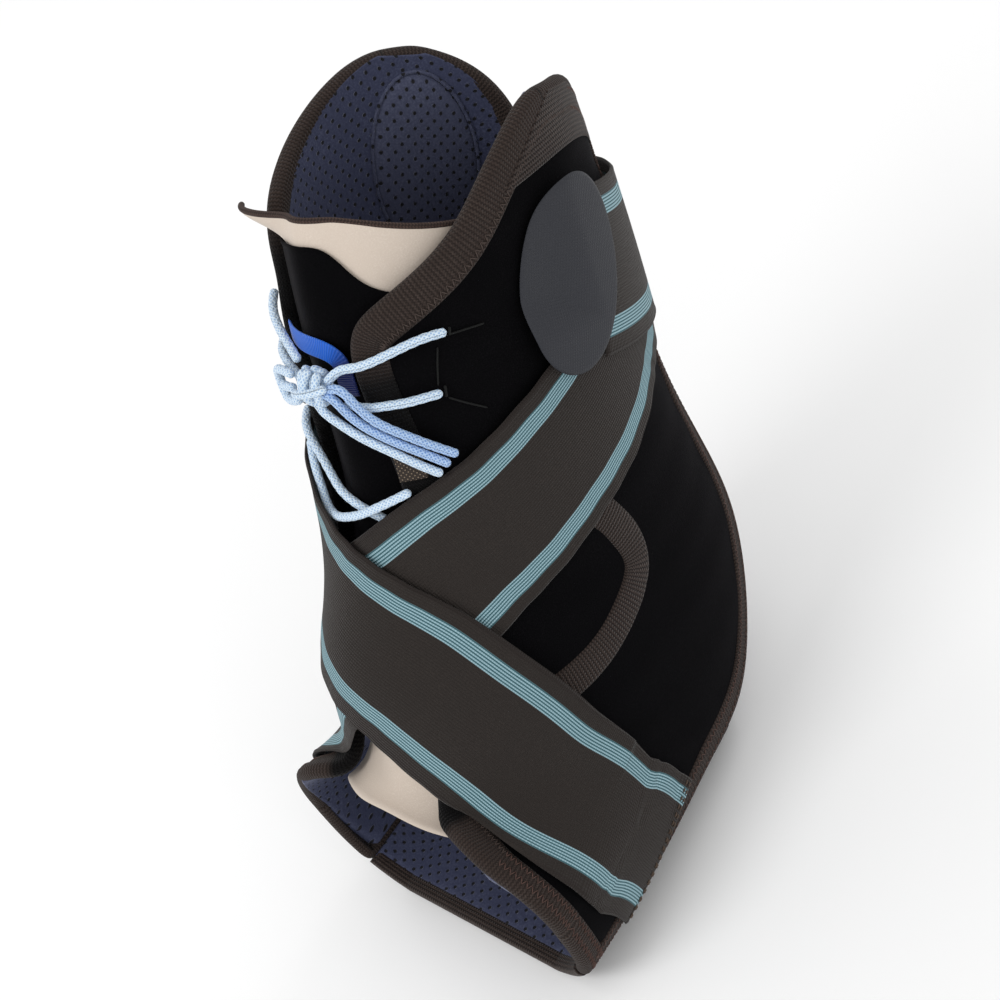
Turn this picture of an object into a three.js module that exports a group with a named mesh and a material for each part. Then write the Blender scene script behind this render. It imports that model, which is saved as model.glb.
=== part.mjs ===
// A lace-up ankle brace with two crossing elastic straps, standing on its sole.
// Everything lies on one smooth ankle form: a leg that leans back, an ankle, and a foot cut off at the
// toe opening. Toes point to -Y, the heel to +Y, +Z is up, and the floor is at z = 0.
import * as THREE from "three";

// Driving sizes, in millimetres
const LEG_TOP = 284; // height of the form's front line at the top of the leg
const FORM_DEPTH = 167; // from the toe opening to the back of the heel
const FOOT_WIDTH = 115; // across the foot at the toe opening
const SHELL_WALL = 1.2; // outer fabric of the side panels
const LINING_WALL = 3; // perforated foam inside the side panels
const LAYER_GAP = 0.4; // between two layers that are sewn or stuck together
const SEAM_GAP = 1; // between a panel's field and its binding
const FRONT_BAND = 11; // wide stitched band along each panel's front edge
const REAR_BINDING = 12; // binding along each panel's heel and sole edge
const BINDING_RISE = 0.4; // how far a binding stands proud of the fabric
const BACK_WALL = 3; // knitted panel behind the leg
const SOLE_WALL = 1.5; // outer fabric under the foot
const SOLE_LINING_WALL = 3; // foam on top of it
const TONGUE_WALL = 1.6; // padded tongue
const TONGUE_EDGE = 2.2; // brown edging along the tongue's top
const COVER_WALL = 0.9; // black cover on the tongue
const STRAP_WIDTH = 50; // elastic straps
const STRAP_WALL = 1.2;
const TAB_LENGTH = 57; // oval hook tab on each strap's end
const TAB_WIDTH = 38;
const TAB_WALL = 1;
const RING_WIDTH = 11; // raised brown arc round the ankle bone
const RING_WALL = 0.6;
const PAD_LENGTH = 58; // oval pad inside each ear
const PAD_WIDTH = 37;
const PAD_RISE = 3;
const PAD_EDGE = 0.8; // thickness of the pad at its seam
const LACE_DIAMETER = 2.6;
const LOOP_WIDTH = 8; // woven webbing loops that carry the lace
const LOOP_LENGTH = 11;
const LOOP_WALL = 1;
const BLUE_WIDTH = 6.4; // bright pull tab behind the knot
const BLUE_WALL = 0.8;
const KNOT_LENGTH = 13.5;
const KNOT_WIDTH = 11;
const KNOT_HEIGHT = 6;
const CAP_WALL = 0.6; // brown cap over an ear's outside
const EDGING_RISE = 0.2; // how far the tongue's edging stands proud of it
const COVER_GAP = 0.5; // under the tongue's cover
const TONGUE_RISE = 2; // how far the middle of the tongue stands up between the panels
const TONGUE_SINK = 0.7; // how far its lower end sinks
const TONGUE_GAP = 0.9; // between the cover and the panels over it
const STRAP_GAP = 0.8; // under a strap where it crosses something
const TAB_GAP = 0.5; // under a hook tab
const PANEL_GAP_DEG = 1.1; // between a side panel and the back panel or the sole, in degrees round the form

// Sections of the form from the leg top (u = 0) to the toe opening (u = 1). The front and back points
// are shares of FORM_DEPTH and LEG_TOP, half is a share of FOOT_WIDTH, square rounds or squares the
// lower half of a section, and skew slants it.
const FORM = [
  {
    u: 0.0, frontY: 0.06, frontZ: 1.0, backY: 0.575, backZ: 0.831,
    half: 0.326, square: 2.0, skew: 0,
  },
  {
    u: 0.18, frontY: -0.045, frontZ: 0.859, backY: 0.533, backZ: 0.662,
    half: 0.339, square: 2.0, skew: 0,
  },
  {
    u: 0.36, frontY: -0.153, frontZ: 0.708, backY: 0.479, backZ: 0.493,
    half: 0.348, square: 2.0, skew: 0,
  },
  {
    u: 0.5, frontY: -0.234, frontZ: 0.57, backY: 0.443, backZ: 0.352,
    half: 0.357, square: 2.0, skew: 0,
  },
  {
    u: 0.6, frontY: -0.335, frontZ: 0.465, backY: 0.446, backZ: 0.218,
    half: 0.374, square: 2.1, skew: 0,
  },
  {
    u: 0.68, frontY: -0.434, frontZ: 0.398, backY: 0.407, backZ: 0.116,
    half: 0.4, square: 2.3, skew: 0,
  },
  {
    u: 0.76, frontY: -0.482, frontZ: 0.331, backY: 0.269, backZ: -0.004,
    half: 0.435, square: 2.5, skew: -0.05,
  },
  {
    u: 0.84, frontY: -0.506, frontZ: 0.285, backY: 0.048, backZ: -0.011,
    half: 0.461, square: 3.0, skew: -0.05,
  },
  {
    u: 0.92, frontY: -0.527, frontZ: 0.278, backY: -0.246, backZ: -0.011,
    half: 0.487, square: 3.2, skew: -0.05,
  },
  {
    u: 1.0, frontY: -0.551, frontZ: 0.303, backY: -0.551, backZ: -0.011,
    half: 0.5, square: 3.2, skew: -0.05,
  },
];

// Edges of a side panel from the top of its ear to the toe opening: the front edge, which lies further
// round on the far side, and the rear edge, which follows the leg, the heel opening and the sole.
const PANEL_EDGES = [
  { frontU: 0.083, nearDeg: 108, farDeg: 118, rearU: 0.083, rearDeg: 132 },
  { frontU: 0.102, nearDeg: 95, farDeg: 98, rearU: 0.112, rearDeg: 152 },
  { frontU: 0.16, nearDeg: 76, farDeg: 68, rearU: 0.165, rearDeg: 164 },
  { frontU: 0.225, nearDeg: 58, farDeg: 46, rearU: 0.245, rearDeg: 165 },
  { frontU: 0.278, nearDeg: 34.5, farDeg: 43.5, rearU: 0.325, rearDeg: 163 },
  { frontU: 0.31, nearDeg: 21.5, farDeg: 40.5, rearU: 0.4, rearDeg: 159 },
  { frontU: 0.35, nearDeg: 18.2, farDeg: 37, rearU: 0.47, rearDeg: 154 },
  { frontU: 0.4, nearDeg: 19.5, farDeg: 37, rearU: 0.53, rearDeg: 150 },
  { frontU: 0.47, nearDeg: 23, farDeg: 38, rearU: 0.585, rearDeg: 147 },
  { frontU: 0.56, nearDeg: 25, farDeg: 37, rearU: 0.64, rearDeg: 142 },
  { frontU: 0.65, nearDeg: 24, farDeg: 35, rearU: 0.69, rearDeg: 137 },
  { frontU: 0.74, nearDeg: 22, farDeg: 32, rearU: 0.74, rearDeg: 130 },
  { frontU: 0.83, nearDeg: 20, farDeg: 28, rearU: 0.79, rearDeg: 124 },
  { frontU: 0.9, nearDeg: 20, farDeg: 27, rearU: 0.84, rearDeg: 121 },
  { frontU: 0.955, nearDeg: 30, farDeg: 33, rearU: 0.885, rearDeg: 122 },
  { frontU: 0.985, nearDeg: 40, farDeg: 41, rearU: 0.94, rearDeg: 125 },
  { frontU: 1.0, nearDeg: 50, farDeg: 50, rearU: 1.0, rearDeg: 127 },
];
// How much higher the far ear stands, and the share of the panel's length over which that dies out
const FAR_EAR = { riseU: 0.02, share: 0.25 };
const PANEL_ROWS = 24;
const PANEL_COLUMNS = 8;
const EAR_TOP_SHARE = 0.045; // share of the panel's length that the binding over the ear takes
const EAR_CAP_SHARE = 0.145; // where the brown cap on the ear's outside ends
const TOE_BAND_SHARE = 0.955; // where the panel's toe band begins
const CAP_ROWS = 4;

// Centre line of a strap, from its sewn end at the sole edge over the instep to the other side, up and
// round the back of the leg to the tab. The last three columns say how far it rides over the ankle ring
// and, for the outer of the two straps, over the inner one and over the inner one's tab.
const STRAP_PATH = [
  { u: 0.907, deg: -108, overRing: 0, overStrap: 0, overTab: 0 },
  { u: 0.885, deg: -88, overRing: 0, overStrap: 0, overTab: 0 },
  { u: 0.828, deg: -62, overRing: 0.7, overStrap: 0.3, overTab: 0 },
  { u: 0.763, deg: -48, overRing: 0.7, overStrap: 0.7, overTab: 0 },
  { u: 0.713, deg: -37, overRing: 0, overStrap: 1, overTab: 0 },
  { u: 0.667, deg: -23.5, overRing: 0, overStrap: 1, overTab: 0 },
  { u: 0.638, deg: -8, overRing: 0, overStrap: 1, overTab: 0 },
  { u: 0.612, deg: 10, overRing: 0, overStrap: 1, overTab: 0 },
  { u: 0.588, deg: 24, overRing: 0, overStrap: 1, overTab: 0 },
  { u: 0.556, deg: 39, overRing: 0.2, overStrap: 1, overTab: 0 },
  { u: 0.525, deg: 56, overRing: 0.7, overStrap: 1, overTab: 0 },
  { u: 0.49, deg: 73, overRing: 0.7, overStrap: 1, overTab: 0.2 },
  { u: 0.453, deg: 90, overRing: 0.3, overStrap: 1, overTab: 1 },
  { u: 0.411, deg: 106, overRing: 0, overStrap: 1, overTab: 1.1 },
  { u: 0.375, deg: 118, overRing: 0, overStrap: 1, overTab: 1 },
  { u: 0.343, deg: 137, overRing: 0, overStrap: 1, overTab: 0.3 },
  { u: 0.322, deg: 160, overRing: 0, overStrap: 1, overTab: 0 },
  { u: 0.314, deg: 184, overRing: 0, overStrap: 1, overTab: 0 },
  { u: 0.311, deg: 208, overRing: 0, overStrap: 1, overTab: 0 },
  { u: 0.308, deg: 232, overRing: 0, overStrap: 1, overTab: 0 },
  { u: 0.303, deg: 254, overRing: 0, overStrap: 1, overTab: 0 },
];
const STRAP_ROWS = 42;
const STRAP_COLUMNS = 5;

// Raised arc behind the ankle bone, its centre line
const RING_PATH = [
  { u: 0.527, deg: 74 },
  { u: 0.554, deg: 82 },
  { u: 0.588, deg: 87.5 },
  { u: 0.622, deg: 88 },
  { u: 0.654, deg: 82.5 },
  { u: 0.682, deg: 73 },
  { u: 0.702, deg: 61 },
];
const RING_ROWS = 10;

// Tongue: how far round it reaches on each side, and shares of its rise in the middle and of its sink
const TONGUE = [
  { u: 0.193, nearDeg: 73, farDeg: 45, rise: 1, sink: 0 },
  { u: 0.225, nearDeg: 66, farDeg: 46, rise: 1, sink: 0 },
  { u: 0.27, nearDeg: 56, farDeg: 50, rise: 1, sink: 0 },
  { u: 0.36, nearDeg: 50, farDeg: 50, rise: 1, sink: 0 },
  { u: 0.5, nearDeg: 46, farDeg: 46, rise: 1, sink: 0 },
  { u: 0.68, nearDeg: 42, farDeg: 42, rise: 0.95, sink: 0 },
  { u: 0.82, nearDeg: 38, farDeg: 38, rise: 0.9, sink: 0.4 },
  { u: 0.91, nearDeg: 36, farDeg: 38, rise: 0.8, sink: 1 },
];
const TONGUE_SHOULDER_DEG = 21; // the middle part that rises
const TOP_ROW_POWER = 1.3; // brings the rows closer together at the flared top
const FLARE = { height: 13, fromDeg: 8, toDeg: 46, lengthU: 0.033 }; // the tongue's far top corner turns out
const COVER_EDGE = [
  { deg: -50, u: 0.236 },
  { deg: -24, u: 0.228 },
  { deg: 0, u: 0.222 },
  { deg: 10, u: 0.225 },
  { deg: 22, u: 0.244 },
  { deg: 36, u: 0.268 },
  { deg: 50, u: 0.28 },
]; // the black cover's wavy upper edge
const COVER_BOTTOM = 0.62;
const TONGUE_ROWS = 17;
const TONGUE_COLUMNS = 12;
const COVER_ROWS = 12;
const COVER_COLUMNS = 10; // the same columns, without the outermost ones

// Lace strands as [u, degrees round the form, height of the centre above the form]
const LACES = {
  lace_upper_near: [[0.351, 14.5, 1.6], [0.346, 21, 2.1], [0.338, 29, 2.2], [0.328, 37, 2.1],
    [0.32, 45, 2], [0.317, 52, 1.9]],
  lace_lower_near: [[0.392, 19, 1.9], [0.391, 28, 2], [0.389, 35, 2], [0.386, 41, 2], [0.384, 46, 1.9]],
  lace_upper_far: [[0.3, -46, 2.1], [0.311, -40, 2], [0.327, -29, 0.6],
    [0.34, -19, -0.3], [0.352, -9, 0.2]],
  lace_lower_far: [[0.352, -47, 2], [0.359, -36, 1.9], [0.366, -24, 0.6], [0.371, -9, 0.8]],
  bow_end_a: [[0.366, 15, 5.2], [0.383, 19, 5.1], [0.403, 24, 4.9], [0.419, 30.5, 4.3],
    [0.436, 38, 3.7], [0.451, 45, 3.4]],
  bow_end_b: [[0.377, 11, 4.8], [0.394, 15, 4.6], [0.414, 21.5, 4.3], [0.431, 29, 3.9],
    [0.446, 36, 3.6], [0.46, 42, 3.4]],
  bow_end_c: [[0.394, 4.5, 4], [0.405, 9, 4], [0.423, 17.5, 4], [0.44, 26, 3.8],
    [0.455, 32.5, 3.5], [0.469, 39, 3.4]],
  bow_loop_far: [[0.359, -6, 4.2], [0.359, -13, 4.3], [0.366, -21, 4.3], [0.38, -25, 4.2], [0.393, -21, 4.1],
    [0.394, -12, 4.1], [0.388, -6, 4.1]],
  bow_end_far: [[0.374, -7, 4.4], [0.377, -12, 4.5], [0.379, -18, 4.5]],
  lace_cross_far: [[0.442, -46, 2.3], [0.452, -39.5, 2.5], [0.471, -28, 0],
    [0.488, -19, -1.5], [0.5, -11, -1.8],
    [0.507, -1, -1.7], [0.513, 7, -1.7], [0.52, 14, -2.2]],
  lace_cross_near: [[0.485, 27.5, 2.2], [0.492, 22, 2], [0.502, 14, 1.5], [0.512, 5, 1.2], [0.519, -4, 1.1],
    [0.522, -11, 1.2], [0.518, -18, 1.4], [0.505, -23, 1.6], [0.487, -29, 1.9], [0.468, -36.5, 2.1]],
};
const LACE_SIDES = 8;
const LACE_STEPS = 7; // least number of straight pieces in a strand
const LACE_PIECE = 2.4; // length of a straight piece, in lace diameters

// Places of the small parts on the form
const TAB_PLACE = { u: 0.292, deg: 95, tiltDeg: 18 };
const PAD_PLACE = { u: 0.207, deg: 120, tiltDeg: 10 };
// Where the near tab climbs onto the straps
const TAB_OVER_STRAP = { fromDeg: 84, toDeg: 102, fromU: 0.3, toU: 0.355 };
const KNOT_PLACE = { u: 0.371, deg: 2.5, lift: 2.2 };
const LOOP_PLACES = { near: { u: 0.456, deg: 29.5 }, far: { u: 0.41, deg: -44 } };
const BLUE_PATH = [
  { u: 0.33, deg: -25 },
  { u: 0.334, deg: -14 },
  { u: 0.336, deg: -3 },
  { u: 0.339, deg: 5 },
  { u: 0.347, deg: 10.5 },
  { u: 0.36, deg: 12.2 },
  { u: 0.376, deg: 12.3 },
  { u: 0.39, deg: 12.3 },
];

// Heel opening: the back panel ends above it and the sole starts in front of it
const BACK_TOP_U = 0.21;
const BACK_BOTTOM_U = 0.6;
const SOLE_HEEL_U = 0.815;
const SOLE_CURVE_FROM_U = 0.715; // the part of a panel's rear edge that shapes the sole
const SOLE_EDGE_U = 0.985; // where the sole's toe edging begins
const EDGE_GAP_U = 0.0015;
const BACK_ROWS = 14;
const BACK_COLUMNS = 7;
const SOLE_ROWS = 10;
const SOLE_COLUMNS = 9;

const COLOURS = {
  velvet: [0x0f0f12, 0.95],
  brown: [0x3b322e, 0.85],
  edging: [0x3a2d29, 0.85],
  lining: [0x2c3550, 0.8],
  knit: [0x17171a, 0.9],
  beige: [0xd6ccc2, 0.7],
  strap: [0x3c332e, 0.8],
  tab: [0x2e3138, 0.7],
  lace: [0xa9c6e8, 0.7],
  blue: [0x1f5fd6, 0.6],
  webbing: [0x5a4a33, 0.85],
};

// A natural cubic curve through points, straight beyond its ends
function naturalSpline(xs, ys) {
  const last = xs.length - 1;
  const bend = new Array(last + 1).fill(0);
  const work = new Array(last + 1).fill(0);
  for (let i = 1; i < last; i++) {
    const share = (xs[i] - xs[i - 1]) / (xs[i + 1] - xs[i - 1]);
    const pivot = share * bend[i - 1] + 2;
    const turn = (ys[i + 1] - ys[i]) / (xs[i + 1] - xs[i]) - (ys[i] - ys[i - 1]) / (xs[i] - xs[i - 1]);
    bend[i] = (share - 1) / pivot;
    work[i] = ((6 * turn) / (xs[i + 1] - xs[i - 1]) - share * work[i - 1]) / pivot;
  }
  for (let i = last - 1; i >= 0; i--) bend[i] = bend[i] * bend[i + 1] + work[i];
  bend[0] = 0;
  return (x) => {
    const inside = Math.min(Math.max(x, xs[0]), xs[last]);
    let k = 0;
    while (k < last - 1 && inside > xs[k + 1]) k++;
    const h = xs[k + 1] - xs[k];
    const a = (xs[k + 1] - inside) / h;
    const b = 1 - a;
    const curve = (((a ** 3 - a) * bend[k] + (b ** 3 - b) * bend[k + 1]) * h * h) / 6;
    const slope =
      (ys[k + 1] - ys[k]) / h + (((3 * b * b - 1) * bend[k + 1] - (3 * a * a - 1) * bend[k]) * h) / 6;
    return a * ys[k] + b * ys[k + 1] + curve + slope * (x - inside);
  };
}

// A column of a table as a smooth function of another column, or of the place in the table
function columnSpline(table, key, along = "u") {
  const xs = table.map((row, i) => (along === "index" ? i / (table.length - 1) : row[along]));
  return naturalSpline(xs, table.map((row) => row[key]));
}

const form = Object.fromEntries(
  Object.keys(FORM[0])
    .filter((key) => key !== "u")
    .map((key) => [key, columnSpline(FORM, key)]),
);

function signedPower(value, power) {
  return Math.sign(value) * Math.abs(value) ** power;
}

// The form's middle line and its skin; the skin is flat where it would pass through the floor
function sectionMiddle(u) {
  return new THREE.Vector3(
    0,
    (FORM_DEPTH * (form.frontY(u) + form.backY(u))) / 2,
    (LEG_TOP * (form.frontZ(u) + form.backZ(u))) / 2,
  );
}

function skin(u, deg) {
  const c = Math.cos(THREE.MathUtils.degToRad(deg));
  const s = Math.sin(THREE.MathUtils.degToRad(deg));
  const power = 2 / (c > 0 ? 2 : form.square(u));
  const along = signedPower(c, power);
  const x = FOOT_WIDTH * form.half(u) * signedPower(s, power);
  const middle = sectionMiddle(u);
  const y = middle.y + (along * FORM_DEPTH * (form.frontY(u) - form.backY(u))) / 2 + form.skew(u) * x;
  const z = middle.z + (along * LEG_TOP * (form.frontZ(u) - form.backZ(u))) / 2;
  return new THREE.Vector3(x, y, Math.max(z, 0));
}

const U_STEP = 0.004;
const DEG_STEP = 1.5;

function slopes(u, deg) {
  const alongU = skin(u + U_STEP, deg).sub(skin(u - U_STEP, deg)).divideScalar(2 * U_STEP);
  const alongDeg = skin(u, deg + DEG_STEP).sub(skin(u, deg - DEG_STEP)).divideScalar(2 * DEG_STEP);
  return { alongU, alongDeg };
}

function outward(u, deg) {
  const { alongU, alongDeg } = slopes(u, deg);
  const normal = alongU.cross(alongDeg).normalize();
  const away = skin(u, deg).sub(sectionMiddle(u));
  return normal.dot(away) < 0 ? normal.negate() : normal;
}

// A point at a height above the form's skin, never below the floor
function above(u, deg, height) {
  const point = skin(u, deg).addScaledVector(outward(u, deg), height);
  point.z = Math.max(point.z, 0);
  return point;
}

// Walks over the skin from (u, deg) in a direction, in short steps, backwards if the distance is negative
function walk(u, deg, direction, distance) {
  const STEPS = 4;
  const heading = direction.clone();
  for (let i = 0; i < STEPS; i++) {
    const { alongU, alongDeg } = slopes(u, deg);
    const uu = alongU.dot(alongU);
    const ud = alongU.dot(alongDeg);
    const dd = alongDeg.dot(alongDeg);
    const hu = heading.dot(alongU);
    const hd = heading.dot(alongDeg);
    const det = uu * dd - ud * ud;
    const du = (hu * dd - hd * ud) / det;
    const dDeg = (hd * uu - hu * ud) / det;
    const moved = alongU.clone().multiplyScalar(du).addScaledVector(alongDeg, dDeg);
    const scale = distance / STEPS / moved.length();
    u += du * scale;
    deg += dDeg * scale;
    heading.copy(moved.normalize());
  }
  return { u, deg };
}

// A closed mesh from vertices and faces, turned so that its faces point out
function solid(vertices, faces) {
  let volume = 0;
  for (const [a, b, c] of faces) volume += vertices[a].dot(vertices[b].clone().cross(vertices[c]));
  const index = faces.flatMap(([a, b, c]) => (volume < 0 ? [a, c, b] : [a, b, c]));
  const geometry = new THREE.BufferGeometry();
  const places = vertices.flatMap((vertex) => vertex.toArray());
  geometry.setAttribute("position", new THREE.Float32BufferAttribute(places, 3));
  geometry.setIndex(index);
  geometry.computeVertexNormals();
  return geometry;
}

// A wall between an outer and an inner grid of points, rows by columns
function wall(outer, inner) {
  const rows = outer.length;
  const columns = outer[0].length;
  const vertices = [...outer.flat(), ...inner.flat()];
  const out = (i, j) => i * columns + j;
  const inn = (i, j) => rows * columns + out(i, j);
  const faces = [];
  const quad = (a, b, c, d) => faces.push([a, b, c], [a, c, d]);
  for (let i = 0; i + 1 < rows; i++) {
    for (let j = 0; j + 1 < columns; j++) {
      quad(out(i, j), out(i + 1, j), out(i + 1, j + 1), out(i, j + 1));
      quad(inn(i, j), inn(i, j + 1), inn(i + 1, j + 1), inn(i + 1, j));
    }
    quad(out(i, 0), inn(i, 0), inn(i + 1, 0), out(i + 1, 0));
    quad(out(i + 1, columns - 1), inn(i + 1, columns - 1), inn(i, columns - 1), out(i, columns - 1));
  }
  for (let j = 0; j + 1 < columns; j++) {
    quad(out(0, j + 1), inn(0, j + 1), inn(0, j), out(0, j));
    quad(out(rows - 1, j), inn(rows - 1, j), inn(rows - 1, j + 1), out(rows - 1, j + 1));
  }
  return solid(vertices, faces);
}

// A closed ring of four-cornered sections
function ringBar(sections) {
  const count = sections.length;
  const corners = sections[0].length;
  const vertices = sections.flat();
  const at = (k, c) => (k % count) * corners + (c % corners);
  const faces = [];
  for (let k = 0; k < count; k++) {
    for (let c = 0; c < corners; c++) {
      faces.push([at(k, c), at(k + 1, c), at(k + 1, c + 1)], [at(k, c), at(k + 1, c + 1), at(k, c + 1)]);
    }
  }
  return solid(vertices, faces);
}

// A wall on the form from places (u, deg) and an outer and inner height for each row and column
function wallOnForm(rows, columns, place, heights) {
  const outer = [];
  const inner = [];
  for (let i = 0; i < rows; i++) {
    outer.push([]);
    inner.push([]);
    for (let j = 0; j < columns; j++) {
      const { u, deg } = place(i / (rows - 1), j / (columns - 1));
      const [high, low] = heights(u, deg, i / (rows - 1), j / (columns - 1));
      outer[i].push(above(u, deg, high));
      inner[i].push(above(u, deg, low));
    }
  }
  return wall(outer, inner);
}

// A band of a width along a path on the form; liftAt gives its height above the form along the path
function band(path, width, wallThickness, rows, columns, liftAt, mirror = 1) {
  const AHEAD = 0.004;
  const uAt = columnSpline(path, "u", "index");
  const degAt = columnSpline(path, "deg", "index");
  const place = (t) => ({ u: uAt(t), deg: mirror * degAt(t) });
  return wallOnForm(
    rows + 1,
    columns + 1,
    (t, s) => {
      const here = place(t);
      const before = place(Math.max(t - AHEAD, 0));
      const after = place(Math.min(t + AHEAD, 1));
      const forward = skin(after.u, after.deg).sub(skin(before.u, before.deg)).normalize();
      const sideways = forward.cross(outward(here.u, here.deg)).normalize();
      return walk(here.u, here.deg, sideways, (s - 0.5) * width);
    },
    (u, deg, t) => [liftAt(t) + wallThickness, liftAt(t)],
  );
}

// An oval plate on the form, its outer and inner height given by a function of the distance from its middle
function oval(place, length, width, heights, mirror = 1) {
  const RINGS = 3;
  const SIDES = 20;
  const { alongU, alongDeg } = slopes(place.u, mirror * place.deg);
  const down = alongU.normalize();
  const round = alongDeg.addScaledVector(down, -alongDeg.dot(down)).normalize();
  const tilt = THREE.MathUtils.degToRad(-mirror * place.tiltDeg);
  const outer = [];
  const inner = [];
  const add = (u, deg, share) => {
    const [high, low] = heights(u, deg, share);
    outer.push(above(u, deg, high));
    inner.push(above(u, deg, low));
  };
  add(place.u, mirror * place.deg, 0);
  for (let r = 1; r <= RINGS; r++) {
    for (let k = 0; k < SIDES; k++) {
      const angle = (2 * Math.PI * k) / SIDES;
      const lengthwise = (Math.cos(angle) * length) / 2;
      const crosswise = (Math.sin(angle) * width) / 2;
      const a = lengthwise * Math.cos(tilt) - crosswise * Math.sin(tilt);
      const b = lengthwise * Math.sin(tilt) + crosswise * Math.cos(tilt);
      const direction = down.clone().multiplyScalar(a).addScaledVector(round, b);
      const reach = (direction.length() * r) / RINGS;
      const at = walk(place.u, mirror * place.deg, direction.normalize(), reach);
      add(at.u, at.deg, r / RINGS);
    }
  }
  const count = outer.length;
  const at = (r, k) => (r === 0 ? 0 : 1 + (r - 1) * SIDES + (k % SIDES));
  const faces = [];
  for (let k = 0; k < SIDES; k++) {
    faces.push([at(0, 0), at(1, k), at(1, k + 1)], [count, count + at(1, k + 1), count + at(1, k)]);
    for (let r = 1; r < RINGS; r++) {
      const [a, b, c, d] = [at(r, k), at(r + 1, k), at(r + 1, k + 1), at(r, k + 1)];
      faces.push([a, b, c], [a, c, d], [count + a, count + c, count + b], [count + a, count + d, count + c]);
    }
    const [a, b] = [at(RINGS, k), at(RINGS, k + 1)];
    faces.push([a, count + a, count + b], [a, count + b, b]);
  }
  return solid([...outer, ...inner], faces);
}

const group = new THREE.Group();

function add(name, geometry, colour) {
  const [color, roughness] = COLOURS[colour];
  const mesh = new THREE.Mesh(geometry, new THREE.MeshStandardMaterial({ color, roughness, metalness: 0 }));
  mesh.name = name;
  group.add(mesh);
}

// Side panels. Place (t, s) runs from the ear top to the toe opening, and from the front edge to the rear.
function panelPlaces(side) {
  const SAMPLES = 12;
  const sign = side === "near" ? 1 : -1;
  const edge = Object.fromEntries(
    ["frontU", "rearU", "rearDeg", side + "Deg"].map((key) => [key, columnSpline(PANEL_EDGES, key, "index")]),
  );
  const rise = side === "far" ? FAR_EAR.riseU : 0;
  const straight = (t, s) => ({
    u:
      THREE.MathUtils.lerp(edge.frontU(t), edge.rearU(t), s) -
      rise * (1 - THREE.MathUtils.smoothstep(t, 0, FAR_EAR.share)),
    deg: sign * THREE.MathUtils.lerp(edge[side + "Deg"](t), edge.rearDeg(t), s),
  });
  const rowLength = (t) => {
    let length = 0;
    for (let k = 0; k < SAMPLES; k++) {
      const a = straight(t, k / SAMPLES);
      const b = straight(t, (k + 1) / SAMPLES);
      length += skin(a.u, a.deg).distanceTo(skin(b.u, b.deg));
    }
    return length;
  };
  // The field between the bindings, with a gap to them
  const field = (t, share, gap) => {
    const length = rowLength(t);
    const s = THREE.MathUtils.lerp((FRONT_BAND + gap) / length, 1 - (REAR_BINDING + gap) / length, share);
    return straight(t, s);
  };
  return { straight, field };
}

function sidePanel(side) {
  const { straight, field } = panelPlaces(side);
  const gapT = SEAM_GAP / LEG_TOP;
  const rows = (from, to) => (t, s) => field(THREE.MathUtils.lerp(from, to, t), s, SEAM_GAP);
  const whole = rows(EAR_TOP_SHARE + gapT, TOE_BAND_SHARE - gapT);
  const cap = rows(EAR_TOP_SHARE + gapT, EAR_CAP_SHARE);
  const liningTop = -SHELL_WALL - LAYER_GAP;
  const liningLow = liningTop - LINING_WALL;
  add("panel_" + side, wallOnForm(PANEL_ROWS, PANEL_COLUMNS, whole, () => [0, -SHELL_WALL]), "velvet");
  const capHeights = () => [LAYER_GAP + CAP_WALL, LAYER_GAP];
  add("ear_cap_" + side, wallOnForm(CAP_ROWS, PANEL_COLUMNS, cap, capHeights), "brown");
  add("lining_" + side, wallOnForm(PANEL_ROWS, PANEL_COLUMNS, whole, () => [liningTop, liningLow]), "lining");

  // The binding runs all round the field: over the ear, down the rear edge, along the toe edge and back up
  const loop = [];
  const columns = PANEL_COLUMNS - 1;
  const last = PANEL_ROWS - 1;
  const rowAt = (i) => THREE.MathUtils.lerp(EAR_TOP_SHARE, TOE_BAND_SHARE, i / last);
  const section = (outerT, innerT, share) => loop.push([straight(outerT, share), field(innerT, share, 0)]);
  for (let j = 0; j <= columns; j++) section(0, EAR_TOP_SHARE, j / columns);
  for (let i = 1; i < last; i++) section(rowAt(i), rowAt(i), 1);
  for (let j = columns; j >= 0; j--) section(1, TOE_BAND_SHARE, j / columns);
  for (let i = last - 1; i > 0; i--) section(rowAt(i), rowAt(i), 0);
  const corners = loop.map(([rim, seam]) => [
    above(rim.u, rim.deg, BINDING_RISE),
    above(seam.u, seam.deg, BINDING_RISE),
    above(seam.u, seam.deg, liningLow),
    above(rim.u, rim.deg, liningLow),
  ]);
  add("binding_" + side, ringBar(corners), "brown");
}

// Inner oval pad of an ear, domed towards the leg
function earPad(side) {
  const top = -SHELL_WALL - LINING_WALL - 2 * LAYER_GAP;
  const heights = (u, deg, share) => [top, top - PAD_EDGE - (PAD_RISE - PAD_EDGE) * (1 - share ** 3)];
  add("ear_pad_" + side, oval(PAD_PLACE, PAD_LENGTH, PAD_WIDTH, heights, side === "near" ? 1 : -1), "lining");
}

function ankleRing(side) {
  const mirror = side === "near" ? 1 : -1;
  const ring = band(RING_PATH, RING_WIDTH, RING_WALL, RING_ROWS, 2, () => LAYER_GAP, mirror);
  add("ankle_ring_" + side, ring, "brown");
}

// Knitted panel behind the leg, between the rear edges of the two side panels
function backPanel() {
  const rearDeg = naturalSpline(
    PANEL_EDGES.map((row) => row.rearU),
    PANEL_EDGES.map((row) => row.rearDeg),
  );
  const place = (t, s) => {
    const u = THREE.MathUtils.lerp(BACK_TOP_U, BACK_BOTTOM_U, t);
    const half = 180 - rearDeg(u) - PANEL_GAP_DEG;
    return { u, deg: 180 - half + 2 * half * s };
  };
  const heights = () => [-LAYER_GAP, -LAYER_GAP - BACK_WALL];
  add("back_panel", wallOnForm(BACK_ROWS, BACK_COLUMNS, place, heights), "knit");
}

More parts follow.
